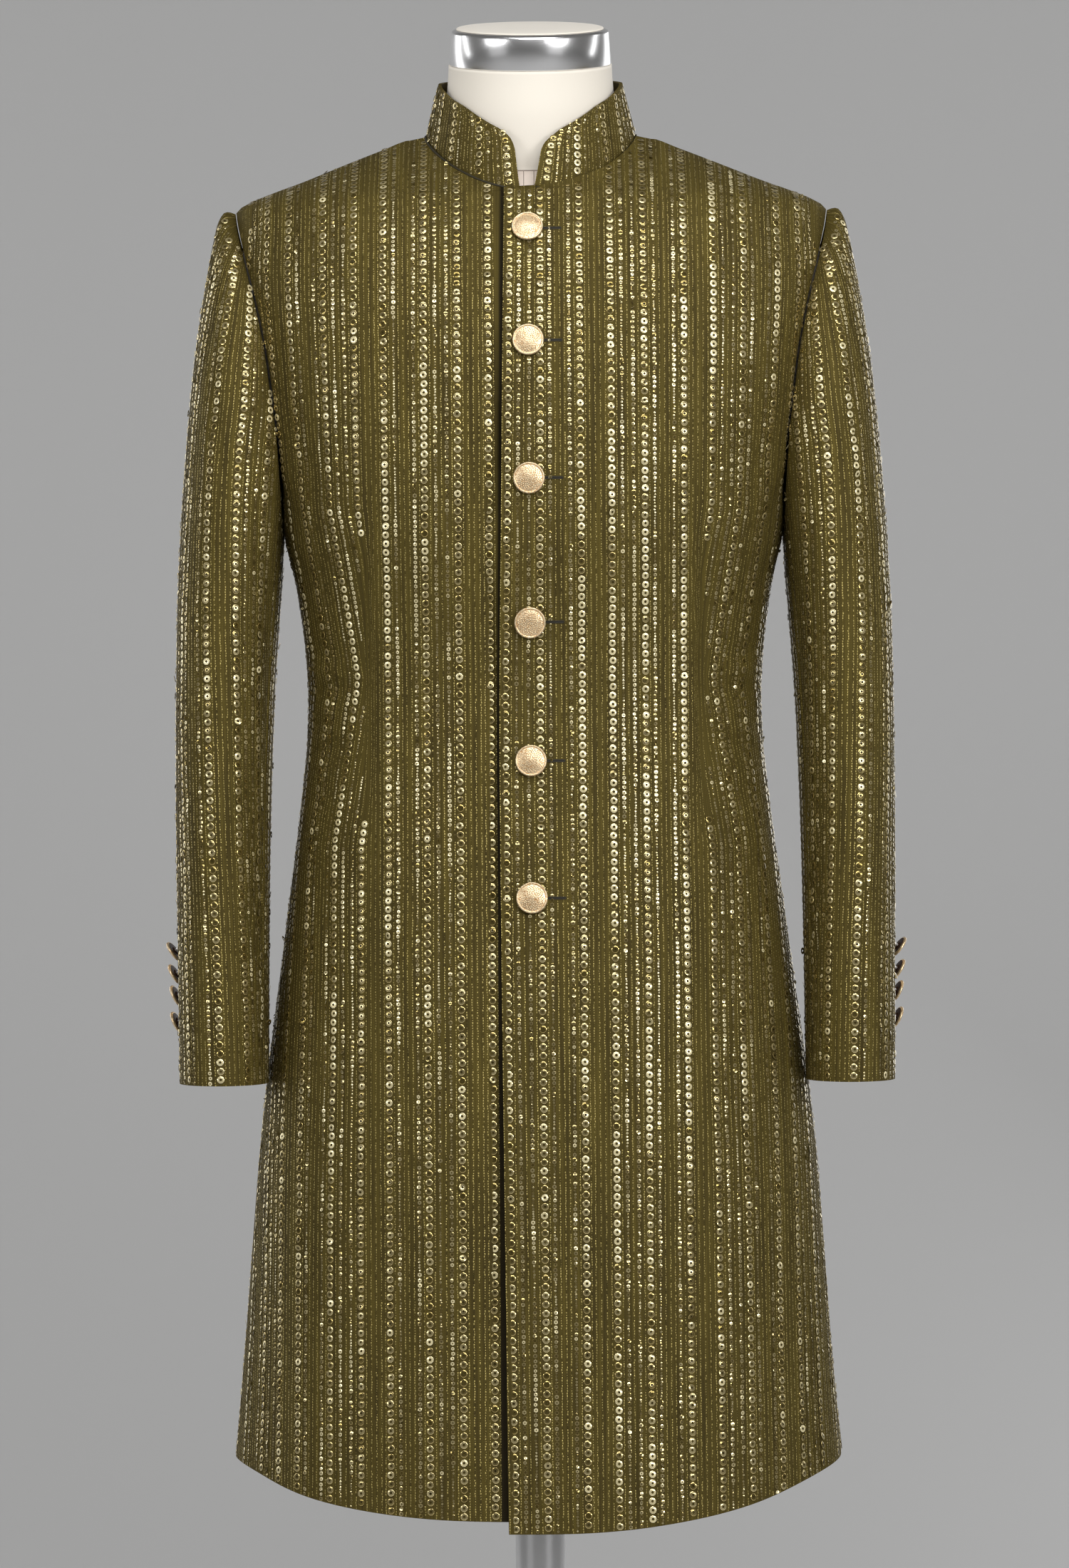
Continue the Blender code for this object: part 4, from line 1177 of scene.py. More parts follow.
def facing(foot, axis, radius):
    """Matrix that sets a button of radius one with its shank's end at foot."""
    turn = Vector(axis).to_track_quat("Z", "Y").to_matrix().to_4x4()
    return Matrix.Translation(Vector(foot)) @ turn @ Matrix.Scale(radius, 4)


def solo(function, *values):
    """One point from a function that works on arrays."""
    return Vector(function(*[np.array([value]) for value in values])[0])


def turn_across(x, z):
    """Turn of the point of the front that lies at x and z."""
    return float(turn_at_x(np.array([x]), np.array([z]))[0])


def make_front_buttons(head, metal):
    post = turned("post", POST_PROFILE, 20)
    post.data.materials.append(metal)
    whole = join([copy_of(head, "front_button", Matrix()), post])
    for number, z in enumerate(FRONT_BUTTON_Z, start=1):
        turn = turn_across(FRONT_BUTTON_X, z)
        normal = solo(body_normal, turn, z)
        foot = solo(body_point, turn, z) + normal * (LAP_LIFT + REST)
        name = "front_button_%d" % number
        spun = facing(foot, normal, FRONT_BUTTON_RADIUS) @ Matrix.Rotation(1.9 * number, 4, "Z")
        button = copy_of(whole, name + "_metal", spun)
        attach(button, "root")
        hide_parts(name)
    bpy.data.objects.remove(whole)


def share_at_height(angle, z):
    """Share of the sleeve's length at which this angle reaches a height."""
    shares = np.linspace(0.5, 1.0, 2001)
    heights = sleeve_point(np.full_like(shares, angle), shares)[:, 2]
    return float(np.interp(-z, -heights, shares))


CUP_STAND = 0.22                    # how far a leaning button's foot stands off the cloth
CUP_FLOOR = 0.130                   # height of a cup's hub above its foot
SHANK_LOOP = (0.32, 0.120)          # radii of the loop and of its wire
LOOP_SINK = 0.16                    # how far the loop goes into the cup
LOOP_REACH = SHANK_LOOP[0] + SHANK_LOOP[1]


def make_cuff_buttons(head, underside, loop_metal):
    """Shallow cups on a wire loop, leaning out at the top; the loop is painted near white as a
    highlight, and the cups' undersides are painted dark as shade.
    """
    loop = begin("loop", bpy.ops.mesh.primitive_torus_add, major_segments=24, minor_segments=8,
                 major_radius=SHANK_LOOP[0], minor_radius=SHANK_LOOP[1],
                 rotation=(math.radians(90.0), 0.0, 0.0))
    finish(loop, 180.0)
    hub = turned("hub", HUB_PROFILE, 20)
    hub.data.materials.append(underside)
    for word, side in (("left", 1.0), ("right", -1.0)):
        for number, row in enumerate(CUFF_BUTTONS, start=1):
            radius = CUFF_BUTTON_RADIUS
            share = share_at_height(CUFF_BUTTON_ANGLE, row.z)
            normal = solo(sleeve_normal, CUFF_BUTTON_ANGLE, share)
            lean, upright = sine(row.tilt), cosine(row.tilt)
            axis = normal * upright + Vector((0.0, 0.0, -lean))
            foot = solo(sleeve_point, CUFF_BUTTON_ANGLE, share)
            foot += normal * (REST + CUP_STAND * radius * lean)
            shank = (radius * lean + 2.0 * REST) / upright - CUP_FLOOR * radius
            foot.x *= side
            axis.x *= side
            name = "cuff_button_%s_%d" % (word, number)
            base = facing(foot, axis.normalized(), radius)
            lifted = base @ Matrix.Translation((0.0, 0.0, shank / radius))
            reach = (shank / radius + LOOP_SINK) / (2.0 * LOOP_REACH)
            ring = base @ Matrix.Scale(reach, 4, (0.0, 0.0, 1.0))
            ring = ring @ Matrix.Translation((0.0, 0.0, LOOP_REACH))
            cup = join([copy_of(head, name + "_metal", lifted), copy_of(hub, "hub", lifted)])
            wire = copy_of(loop, name + "_loop", ring)
            wire.data.materials.append(loop_metal)
            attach(cup, "root")
            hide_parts(name)
            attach(wire, "root")
    bpy.data.objects.remove(loop)
    bpy.data.objects.remove(hub)


HOLE_START, HOLE_END = 0.0080, 0.0212      # x of the buttonhole, from under the button
HOLE_HALF = 0.00075
HOLE_THREAD = 0.00042
HOLE_LIFT = 0.00010
SLOT_DEPTH, SLOT_EDGE = 0.0004, 0.00012


def make_buttonholes(thread, dark):
    """Worked slits beside the front buttons: a stitched rim round a dark slot, a strip painted
    dark as the shade in the slit.
    """
    length = HOLE_END - HOLE_START
    rim = begin("rim", bpy.ops.mesh.primitive_torus_add, major_segments=28, minor_segments=8,
                major_radius=HOLE_HALF, minor_radius=HOLE_THREAD)
    bpy.ops.object.mode_set(mode="OBJECT")
    choose(rim, lambda spots: spots[:, 0] > 1e-5)
    bpy.ops.transform.translate(value=(length, 0.0, 0.0))
    finish(rim, 180.0)
    slot = begin("slot", bpy.ops.mesh.primitive_cube_add, size=1.0,
                 location=(length / 2.0, 0.0, 0.0), scale=(length, 2.0 * HOLE_HALF, SLOT_DEPTH))
    bpy.ops.mesh.bevel(offset=SLOT_EDGE, segments=2)
    finish(slot)
    for number, z in enumerate(FRONT_BUTTON_Z, start=1):
        turn, far = turn_across(HOLE_START, z), turn_across(HOLE_END, z)
        near_point, far_point = solo(body_point, turn, z), solo(body_point, far, z)
        normal = solo(body_normal, (turn + far) / 2.0, z)
        run = (far_point - near_point).normalized()
        aside = normal.cross(run).normalized()
        frame_matrix = Matrix((run, aside, run.cross(aside))).transposed().to_4x4()
        place = near_point + normal * (LAP_LIFT + HOLE_LIFT)
        matrix = Matrix.Translation(place) @ frame_matrix
        for shape, word, finish_material in ((rim, "thread", thread), (slot, "slot", dark)):
            piece = copy_of(shape, "buttonhole_%s_%d" % (word, number), matrix)
            piece.data.materials.append(finish_material)
            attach(piece, "root")
    bpy.data.objects.remove(rim)
    bpy.data.objects.remove(slot)


CORD_RADIUS, CORD_SIDES, CORD_STEPS = 0.00085, 8, 241
CORD_SINK, CORD_PROUD = 0.0004, 0.0001
CORD_WAVE, CORD_WAVES = 0.10, 9.0
CORD_END = 0.6                      # degrees between the cord's ends and the collar's


def make_neck_cord(thread):
    """The dark cord that closes the seam between the collar and the body."""
    angle = np.linspace(
        COLLAR_END_LEFT[0] + CORD_END, 360.0 - CORD_END - COLLAR_END_RIGHT[0], CORD_STEPS)
    foot, upper = collar_point(angle, 0.0), collar_point(angle, 0.25)
    run = unit(np.gradient(foot, axis=0))
    upward = unit(upper - foot)
    outward = unit(np.cross(run, upward))
    middle = foot - upward * CORD_SINK + outward * CORD_PROUD
    turns = np.arange(CORD_SIDES) * math.tau / CORD_SIDES
    radius = CORD_RADIUS * (1.0 + CORD_WAVE * np.sin(angle * CORD_WAVES))[:, None, None]
    ring = np.cos(turns)[None, :, None] * outward[:, None] + (
        np.sin(turns)[None, :, None] * upward[:, None])
    spots = (middle[:, None] + radius * ring).reshape(-1, 3)
    ends = np.stack([middle[0], middle[-1]])
    count, side = len(spots), np.arange(CORD_SIDES)
    after, last = (side + 1) % CORD_SIDES, count - CORD_SIDES
    body = np.concatenate([
        ring_faces(CORD_STEPS, CORD_SIDES)[:, [0, 1, 2, 0, 2, 3]].reshape(-1, 3),
        np.stack([after, side, np.full_like(side, count)], -1),
        np.stack([np.full_like(side, count + 1), last + side, last + after], -1),
    ])
    cord = new_object("neck_cord", np.concatenate([spots, ends]), body)
    bpy.context.view_layer.objects.active = cord
    bpy.ops.object.mode_set(mode="EDIT")
    finish(cord, 80.0)
    cord.data.materials.append(thread)
    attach(cord, "root")


def turn_at_heading(heading, z, middle_y):
    """Turns of the coat's points that lie at plan headings from the neck's middle."""
    low, high = np.zeros_like(heading), np.full_like(heading, 180.0)
    for _ in range(30):
        turn = (low + high) / 2.0
        point = body_point(turn, z)
        short = np.degrees(np.arctan2(point[:, 0], middle_y - point[:, 1])) < heading
        low, high = np.where(short, turn, low), np.where(short, high, turn)
    return (low + high) / 2.0


def torso_ring(z, shrink=1.0):
    """One ring just inside the cloth, kept outside the neck where it reaches in that far."""
    ease = WALL + FORM_EASE + FORM_DROP * (1.0 - smooth_step(FORM_LOOSE_Z, FORM_CLOSE_Z, z))
    middle_y = min(NECK_BASE.y, NECK_BASE.y - (z - NECK_BASE.z) * math.tan(NECK_LEAN))
    heading = np.linspace(0.0, 180.0, FORM_SEGMENTS // 2 + 1)
    level = np.full_like(heading, z)
    turn = turn_at_heading(heading, level, middle_y)
    points = body_point(turn, level) - body_normal(turn, level) * ease
    plan = points[:, :2] - np.array([0.0, middle_y])
    reach = np.linalg.norm(plan, axis=-1, keepdims=True)
    if z > TIP_Z:
        plan *= np.maximum(reach, NECK_RADIUS) / reach
    points[:, :2] = (plan + np.array([0.0, middle_y])) * shrink
    return np.concatenate([points, mirrored(points[-2:0:-1])])


def neck_ring(along):
    """A ring that is level low on the neck and leans as the neck does higher up."""
    radius = NECK_RADIUS + (NECK_TOP_RADIUS - NECK_RADIUS) * smooth_step(0.070, NECK_TOP, along)
    lean = NECK_LEAN * smooth_step(0.02, 0.09, along)
    middle = NECK_BASE + NECK_AXIS * along
    heading = np.arange(FORM_SEGMENTS) * math.tau / FORM_SEGMENTS
    across = radius * np.cos(heading)
    ring = np.stack([
        radius * np.sin(heading), -across * math.cos(lean), -across * math.sin(lean)
    ], -1)
    return np.array(middle) + ring


def make_form(jersey):
    """Torso and neck of the dress form: rings just inside the cloth, then up the neck."""
    foot = [torso_ring(FORM_HEM_Z, share) for share, _ in FORM_FOOT]
    for ring, (_, above) in zip(foot, FORM_FOOT):
        ring[:, 2] = FORM_HEM_Z + above
    heights = np.concatenate([
        np.linspace(0.858, 1.390, 30), np.linspace(1.402, 1.430, 6),
        np.linspace(1.4345, 1.4810, 12),
    ])
    rings = foot + [torso_ring(z) for z in heights]
    rings += [neck_ring(along) for along in np.linspace(0.046, NECK_TOP - 0.002, 12)]
    rings += [neck_ring(NECK_TOP)]
    count = FORM_SEGMENTS
    form = new_object("form_jersey", np.concatenate(rings), ring_faces(len(rings), count))
    bpy.context.view_layer.objects.active = form
    for end in (0, len(rings) - 1):
        chosen = np.zeros(len(form.data.vertices), bool)
        chosen[end * count : (end + 1) * count] = True
        choose(form, lambda spots: chosen)
        bpy.ops.mesh.edge_face_add()
        bpy.ops.object.mode_set(mode="OBJECT")
    bpy.ops.object.mode_set(mode="EDIT")
    finish(form, 60.0)
    form.data.materials.append(jersey)
    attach(form, "root")
    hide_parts("form_torso")


def rounded(radius, low, high, edge):
    """Profile of a disc with rounded edges."""
    arc = [(1.0, 0.0), (0.62, 0.08), (0.29, 0.29), (0.08, 0.62), (0.0, 1.0)]
    foot = [(radius - edge * a, low + edge * b) for a, b in arc]
    head = [(radius - edge * a, high - edge * b) for a, b in arc[::-1]]
    return foot + head


def make_stand(chrome, steel, jersey):
    """Neck band and lid, which lean with the neck, and the pole, its collar and the base."""
    lean = Matrix.Rotation(NECK_LEAN, 4, "X")
    band = [(BAND_RADIUS - 0.0006, 0.0), (BAND_RADIUS, 0.0006)]
    for share in (0.0, 0.29, 0.62, 1.0):
        band.append((BAND_TOP_RADIUS - BAND_ROUNDING * (1.0 - math.sqrt(1.0 - share ** 2)),
                     BAND_HEIGHT - BAND_ROUNDING * (1.0 - share)))
    lid = [(LID_RADIUS, 0.0), (LID_RADIUS - 0.0001, 0.0004), (LID_RADIUS - 0.0006, 0.0009),
           (0.97 * LID_RADIUS, LID_HEIGHT), (0.5 * LID_RADIUS, 1.35 * LID_HEIGHT)]
    foot = BASE_THICKNESS + REST
    bore = POLE_RADIUS + REST
    sleeve_radius, sleeve_top = POLE_SLEEVE[0], foot + POLE_SLEEVE[1]
    collar = [
        (bore, foot), (FLANGE_RADIUS, foot), (FLANGE_RADIUS, foot + FLANGE_EDGE),
        (FLANGE_RADIUS - 0.0012, foot + FLANGE_EDGE + STAND_EDGE),
        (FLANGE_TOP[0], foot + FLANGE_TOP[1]), (sleeve_radius, sleeve_top - STAND_EDGE),
        (sleeve_radius - STAND_EDGE, sleeve_top), (bore, sleeve_top),
    ]
    pole = rounded(POLE_RADIUS, foot, FORM_HEM_Z - REST, STAND_EDGE)
    base = rounded(BASE_RADIUS, 0.0, BASE_THICKNESS, BASE_EDGE)
    plan = [
        ("neck_band", turned("neck_band_metal", band, 96, 60.0), NECK_TOP + REST,
         chrome, "chrome"),
        ("neck_lid", turned("neck_lid_cloth", lid, 96), NECK_TOP + BAND_HEIGHT + 2.0 * REST,
         jersey, "form_cloth"),
        ("pole", turned("pole_metal", pole, 64), None, chrome, "chrome"),
        ("pole_collar", turned_ring("pole_collar_metal", collar, 64), None, steel, "steel"),
        ("base", turned("base_metal", base, 96), None, steel, "steel"),
    ]
    for node, thing, along, material, slot in plan:
        if along is not None:
            thing.data.transform(Matrix.Translation(NECK_BASE + NECK_AXIS * along) @ lean)
        thing.data.materials.append(material)
        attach(thing, "root")
        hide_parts(node)


# Studio
CAMERA_PLACE = Vector((-0.0006, -4.5, 1.0))
CAMERA_ROLL = 0.41
CAMERA_LENS = 136.36
FLOOR_HALF = 6.0
SWEEP_Y = 2.2
SWEEP_RADIUS = 1.2
SWEEP_HEIGHT = 4.0
SWEEP_STEPS = 17
WORLD_LIGHT, WORLD_TINT = 0.13, (1.0, 0.98, 0.94, 1.0)
BACKDROP_POWER, BACKDROP_SIZE = 17.6, (0.5, 2.4)
# Softboxes stand round the coat: heading from its front, towards the viewer's right
SOFTBOXES = table(
    "name heading away height aim size glow",
    ("left_box", -50.0, 2.7, 1.50, 1.30, (1.30, 0.54), 6.0),
    ("left_foot", -50.0, 2.7, 0.54, 0.60, (1.30, 0.62), 0.4),
    ("right_box", 39.0, 2.7, 1.50, 1.30, (1.15, 0.54), 11.4),
    ("right_foot", 39.0, 2.7, 0.54, 0.60, (1.15, 0.62), 0.5),
    ("neck_box", 8.0, 1.8, 1.92, 1.46, (1.40, 0.36), 6.0),
    ("top_box", 4.0, 1.3, 2.70, 1.34, (1.60, 0.60), 5.8),
    ("back_strip", -128.0, 2.6, 1.40, 1.10, (0.55, 1.80), 3.0),
    ("back_fill", 150.0, 3.0, 1.50, 1.00, (1.20, 1.80), 1.5),
)


def shader_material(name, colour, roughness, metallic=0.0):
    material = bpy.data.materials.new(name)
    material.use_nodes = True
    surface = material.node_tree.nodes["Principled BSDF"]
    surface.inputs["Base Color"].default_value = (*colour, 1.0)
    surface.inputs["Roughness"].default_value = roughness
    surface.inputs["Metallic"].default_value = metallic
    material.diffuse_color = (*colour, 1.0)
    return material


def shader_graph(*settings):
    """A material with its node graph and its surface shader."""
    material = shader_material(*settings)
    return material, Graph(material.node_tree), material.node_tree.nodes["Principled BSDF"]


class Graph:
    """Short ways to add and join the nodes of one tree."""

    def __init__(self, tree):
        self.tree = tree

    def add(self, kind, inputs=None, **settings):
        node = self.tree.nodes.new(kind)
        for name, setting in settings.items():
            setattr(node, name, setting)
        for name, given in (inputs or {}).items():
            self.feed(node.inputs[name], given)
        return node

    def feed(self, socket, given):
        if isinstance(given, bpy.types.NodeSocket):
            self.tree.links.new(given, socket)
        else:
            socket.default_value = given

    def math(self, operation, *values):
        node = self.add("ShaderNodeMath", operation=operation)
        for socket, given in zip(node.inputs, values):
            self.feed(socket, given)
        return node.outputs[0]

    def plus(self, *values):
        return self.math("ADD", *values)

    def minus(self, *values):
        return self.math("SUBTRACT", *values)

    def times(self, *values):
        return self.math("MULTIPLY", *values)

    def over(self, *values):
        return self.math("DIVIDE", *values)

    def above_zero(self, value):
        return self.math("MAXIMUM", value, 0.0)

    def size(self, value):
        return self.math("ABSOLUTE", value)

    def mix(self, factor, a, b):
        node = self.add("ShaderNodeMix", data_type="RGBA")
        self.feed(node.inputs[0], factor)
        for socket, given in ((node.inputs[6], a), (node.inputs[7], b)):
            self.feed(socket, given if isinstance(given, bpy.types.NodeSocket) else (*given, 1.0))
        return node.outputs[2]

    def use(self, group, **inputs):
        node = self.add("ShaderNodeGroup", node_tree=group)
        for name, given in inputs.items():
            self.feed(node.inputs[name.replace("_", " ")], given)
        return node.outputs


def new_group(name, inputs, outputs):
    """An empty shader group with named sockets, and the graph to fill it with."""
    tree = bpy.data.node_groups.new(name, "ShaderNodeTree")
    for label, kind, start in inputs:
        socket = tree.interface.new_socket(label, in_out="INPUT", socket_type="NodeSocket" + kind)
        if start is not None:
            socket.default_value = start
    for label, kind in outputs:
        tree.interface.new_socket(label, in_out="OUTPUT", socket_type="NodeSocket" + kind)
    graph = Graph(tree)
    entry = graph.add("NodeGroupInput").outputs
    leave = graph.add("NodeGroupOutput").inputs
    return tree, graph, entry, leave


def twill_group():
    """Diagonal threads over upright ribs, from the flat measures of the cloth."""
    tree, graph, entry, leave = new_group(
        "Twill",
        [("Flat", "Vector", None), ("Pitch", "Float", 0.0011), ("Strength", "Float", 1.0)],
        [("Thread", "Float"), ("Height", "Float")],
    )
    apart = graph.add("ShaderNodeSeparateXYZ", {0: entry["Flat"]}).outputs
    slant = graph.plus(apart[0], graph.times(apart[1], 0.6))
    turns = graph.over(math.tau, entry["Pitch"])
    thread = graph.math("SINE", graph.times(slant, turns))
    weft = graph.math("SINE", graph.times(apart[1], graph.times(turns, 0.8)))
    rib = graph.math("SINE", graph.times(apart[0], graph.times(turns, 0.5)))
    both = graph.plus(graph.times(thread, 0.6), graph.times(weft, 0.3))
    both = graph.plus(both, graph.times(rib, 0.35))
    height = graph.times(both, entry["Strength"])
    graph.feed(leave["Height"], height)
    graph.feed(leave["Thread"], graph.math("MULTIPLY_ADD", both, 0.4, 0.5))
    return tree


def chain_group():
    """The lines of small beads or chain stitch in the cloth's repeat, from where it starts."""
    tree, graph, entry, leave = new_group(
        "Bead chain",
        [("Flat", "Vector", None), ("Phase", "Float", 0.0), ("Half width", "Float", 0.00052),
         ("Pitch", "Float", 0.0019)],
        [("Mask", "Float"), ("Height", "Float")],
    )
    apart = graph.add("ShaderNodeSeparateXYZ", {0: entry["Flat"]}).outputs
    across = graph.math("WRAP", graph.minus(apart[0], entry["Phase"]), REPEAT, 0.0)
    lines = STRIPES["chain"]
    nearest = lines[0]
    for line, after in zip(lines, lines[1:]):
        passed = graph.math("GREATER_THAN", across, (line + after) / 2.0)
        nearest = graph.math("MULTIPLY_ADD", passed, after - line, nearest)
    beat = graph.over(apart[1], entry["Pitch"])
    along = graph.size(graph.math("SINE", graph.times(beat, math.pi)))
    cell = graph.add("ShaderNodeCombineXYZ", {
        0: graph.math("FLOOR", beat), 1: graph.math("ROUND", graph.times(nearest, 10000.0)),
    }).outputs[0]
    chance = graph.add("ShaderNodeTexWhiteNoise", {"Vector": cell}).outputs["Value"]
    away = graph.minus(graph.times(chance, 9.7), 4.85)
    shift = graph.times(graph.math("SINE", away), entry["Half width"])
    place = graph.math("MULTIPLY_ADD", shift, 0.45, graph.minus(across, nearest))
    aside = graph.over(graph.size(place), entry["Half width"])
    around = graph.minus(1.0, graph.math("POWER", aside, 2.0))
    height = graph.times(graph.above_zero(around), along)
    least = graph.math("MULTIPLY_ADD", graph.math("POWER", chance, 2.0), 0.9, 0.22)
    graph.feed(leave["Height"], height)
    graph.feed(leave["Mask"], graph.math("GREATER_THAN", height, least))
    return tree


def mottle_group():
    """Slow cloudy variation, between 0 and 1."""
    tree, graph, entry, leave = new_group(
        "Mottle",
        [("Place", "Vector", None), ("Scale", "Float", 12.0), ("Contrast", "Float", 1.0)],
        [("Cloud", "Float")],
    )
    noise = graph.add("ShaderNodeTexNoise", {"Vector": entry["Place"], "Scale": entry["Scale"]})
    noise.inputs["Detail"].default_value = 4.0
    away = graph.minus(noise.outputs[0], 0.5)
    wide = graph.math("MULTIPLY_ADD", away, entry["Contrast"], 0.5)
    graph.feed(leave["Cloud"], graph.math("MINIMUM", graph.above_zero(wide), 1.0))
    return tree


TWILL = twill_group()
CHAIN = chain_group()
MOTTLE = mottle_group()

OLIVE_DARK = (0.060, 0.042, 0.009)
OLIVE = (0.102, 0.076, 0.015)
OLIVE_LIGHT = (0.146, 0.111, 0.022)
STREAK_BROWN = (0.026, 0.018, 0.006)
GOLD_DULL = (0.38, 0.30, 0.10)
GOLD_BRIGHT = (0.96, 0.80, 0.40)
JERSEY = (0.88, 0.82, 0.72)
JERSEY_PINK = (0.86, 0.74, 0.65)
ROSE_GOLD = (1.0, 0.83, 0.56)
ROSE_HOLLOW_SHADE = (0.62, 0.34, 0.13)
JERSEY_SEAM = (0.20, 0.13, 0.10)
NECK_SEAM_Z, NECK_SEAM_HALF = 1.4580, 0.00045
FORM_SEAM_X, FORM_SEAM_HALF = (-0.0055, 0.0022), 0.00030
RIM_HIGHLIGHT_SHADED, RIM_HIGHLIGHT_GLINTING = (0.64, 0.485, 0.185), (1.0, 0.89, 0.56)
FOIL_PAINTED_SHADED, FOIL_PAINTED_GLINTING = (0.19, 0.140, 0.034), (1.0, 0.87, 0.50)
RIM_HIGHLIGHT_FROM = 0.84
STEEL = (0.60, 0.60, 0.61)
PAPER_GREY = (0.62, 0.62, 0.62)
LAP_SHADE = (0.010, 0.007, 0.003)
LAP_SHADE_X, LAP_SHADE_HALF = -0.0254, 0.0042
LAP_SHADE_TURN_Z, LAP_SHADE_SLOPE = 1.02, 0.0128
STREAK_SCALE = 260.0
STREAK_STRETCH = 0.03


def uv_coordinate(graph, name):
    return graph.add("ShaderNodeUVMap", uv_map=name).outputs[0]


def object_coordinate(graph):
    return graph.add("ShaderNodeTexCoord").outputs["Object"]


def sequin_cloth(name, phase):
    """Olive twill with lines of beads; phase is where its repeat starts on the piece.

    The right front is darker along the edge that laps it.
    """
    material, graph, surface = shader_graph(name, OLIVE, 0.72)
    flat = uv_coordinate(graph, "FlatCloth")
    twill = graph.use(TWILL, Flat=flat)
    cloud = graph.use(MOTTLE, Place=object_coordinate(graph), Scale=9.0, Contrast=1.6)["Cloud"]
    colour = graph.mix(twill["Thread"], OLIVE_DARK, OLIVE_LIGHT)
    colour = graph.mix(graph.times(cloud, 0.5), colour, OLIVE)
    apart = graph.add("ShaderNodeSeparateXYZ", {0: flat}).outputs
    upright = graph.add("ShaderNodeCombineXYZ", {
        0: apart[0], 1: graph.times(apart[1], STREAK_STRETCH),
    }).outputs[0]
    streak = graph.use(MOTTLE, Place=upright, Scale=STREAK_SCALE, Contrast=3.2)["Cloud"]
    colour = graph.mix(graph.times(streak, 0.58), colour, STREAK_BROWN)
    beads = graph.use(CHAIN, Flat=flat, Phase=phase)
    mask = beads["Mask"]
    colour = graph.mix(mask, colour, GOLD_DULL)
    if phase == RIGHT_PHASE:
        spot = graph.add("ShaderNodeSeparateXYZ", {0: object_coordinate(graph)}).outputs
        above = graph.above_zero(graph.minus(spot[2], LAP_SHADE_TURN_Z))
        edge = graph.math("MULTIPLY_ADD", above, LAP_SHADE_SLOPE, LAP_SHADE_X)
        away = graph.size(graph.minus(spot[0], edge))
        near = graph.minus(1.0, graph.over(away, LAP_SHADE_HALF))
        shade = graph.math("MINIMUM", graph.above_zero(graph.times(near, 2.0)), 0.9)
        colour = graph.mix(shade, colour, LAP_SHADE)
    threads = graph.times(twill["Height"], 0.35)
    raised = graph.math("MULTIPLY_ADD", beads["Height"], 3.0, threads)
    bump = graph.add("ShaderNodeBump", {"Height": raised, "Strength": 0.6, "Distance": 0.00018})
    graph.feed(surface.inputs["Base Color"], colour)
    graph.feed(surface.inputs["Roughness"], graph.math("MULTIPLY_ADD", mask, -0.40, 0.74))
    graph.feed(surface.inputs["Metallic"], graph.times(mask, 0.6))
    graph.feed(surface.inputs["Normal"], bump.outputs[0])
    surface.inputs["Specular IOR Level"].default_value = 0.12
    return material


def inside_cloth():
    material, graph, surface = shader_graph("coat_inside", OLIVE, 0.55)
    twill = graph.use(TWILL, Flat=uv_coordinate(graph, "FlatCloth"), Pitch=0.0007)
    graph.feed(surface.inputs["Base Color"], graph.mix(twill["Thread"], OLIVE_DARK, OLIVE))
    bump = graph.add("ShaderNodeBump", {"Height": twill["Height"], "Distance": 0.0001})
    graph.feed(surface.inputs["Normal"], bump.outputs[0])
    return material


def grain_group():
    """Fine uneven grain: a height, and a mask of its hollows, which the buttons darken as painted
    shade.
    """
    tree, graph, entry, leave = new_group(
        "Grain",
        [("Place", "Vector", None), ("Scale", "Float", 900.0)],
        [("Height", "Float"), ("Hollow", "Float")],
    )
    cells = graph.add("ShaderNodeTexVoronoi", {"Vector": entry["Place"], "Scale": entry["Scale"]})
    near = graph.math("MINIMUM", cells.outputs["Distance"], 1.0)
    graph.feed(leave["Height"], graph.minus(1.0, near))
    graph.feed(leave["Hollow"], graph.math("POWER", near, 2.0))
    return tree


def button_metal():
    material, graph, surface = shader_graph("button_metal_finish", ROSE_GOLD, 0.36, 0.8)
    grain = graph.use(grain_group(), Place=object_coordinate(graph))
    # Painted shade: the grain's hollows are darker.
    colour = graph.mix(grain["Hollow"], ROSE_GOLD, ROSE_HOLLOW_SHADE)
    bump = graph.add("ShaderNodeBump", {"Height": grain["Height"], "Strength": 0.5,
                                        "Distance": 0.0002})
    graph.feed(surface.inputs["Base Color"], colour)
    graph.feed(surface.inputs["Normal"], bump.outputs[0])
    return material


def jersey_cloth():
    """Pale close-knit cover, a little pinker below the seam at the neck's foot."""
    material, graph, surface = shader_graph("form_jersey_finish", JERSEY, 0.85)
    place = object_coordinate(graph)
    apart = graph.add("ShaderNodeSeparateXYZ", {0: place}).outputs
    below = graph.math("LESS_THAN", apart[2], NECK_SEAM_Z)
    colour = graph.mix(below, JERSEY, JERSEY_PINK)
    seam = graph.size(graph.minus(apart[2], NECK_SEAM_Z))
    line = graph.math("LESS_THAN", seam, NECK_SEAM_HALF)
    for seam_x in FORM_SEAM_X:
        away = graph.size(graph.minus(apart[0], seam_x))
        thin = graph.times(graph.math("LESS_THAN", away, FORM_SEAM_HALF), below)
        line = graph.math("MAXIMUM", line, thin)
    colour = graph.mix(graph.times(line, 0.75), colour, JERSEY_SEAM)
    cloud = graph.use(MOTTLE, Place=place, Scale=1400.0)["Cloud"]
    bump = graph.add("ShaderNodeBump", {"Height": cloud, "Strength": 0.25, "Distance": 0.0002})
    graph.feed(surface.inputs["Base Color"], colour)
    graph.feed(surface.inputs["Normal"], bump.outputs[0])
    surface.inputs["Sheen Weight"].default_value = 0.2
    return material


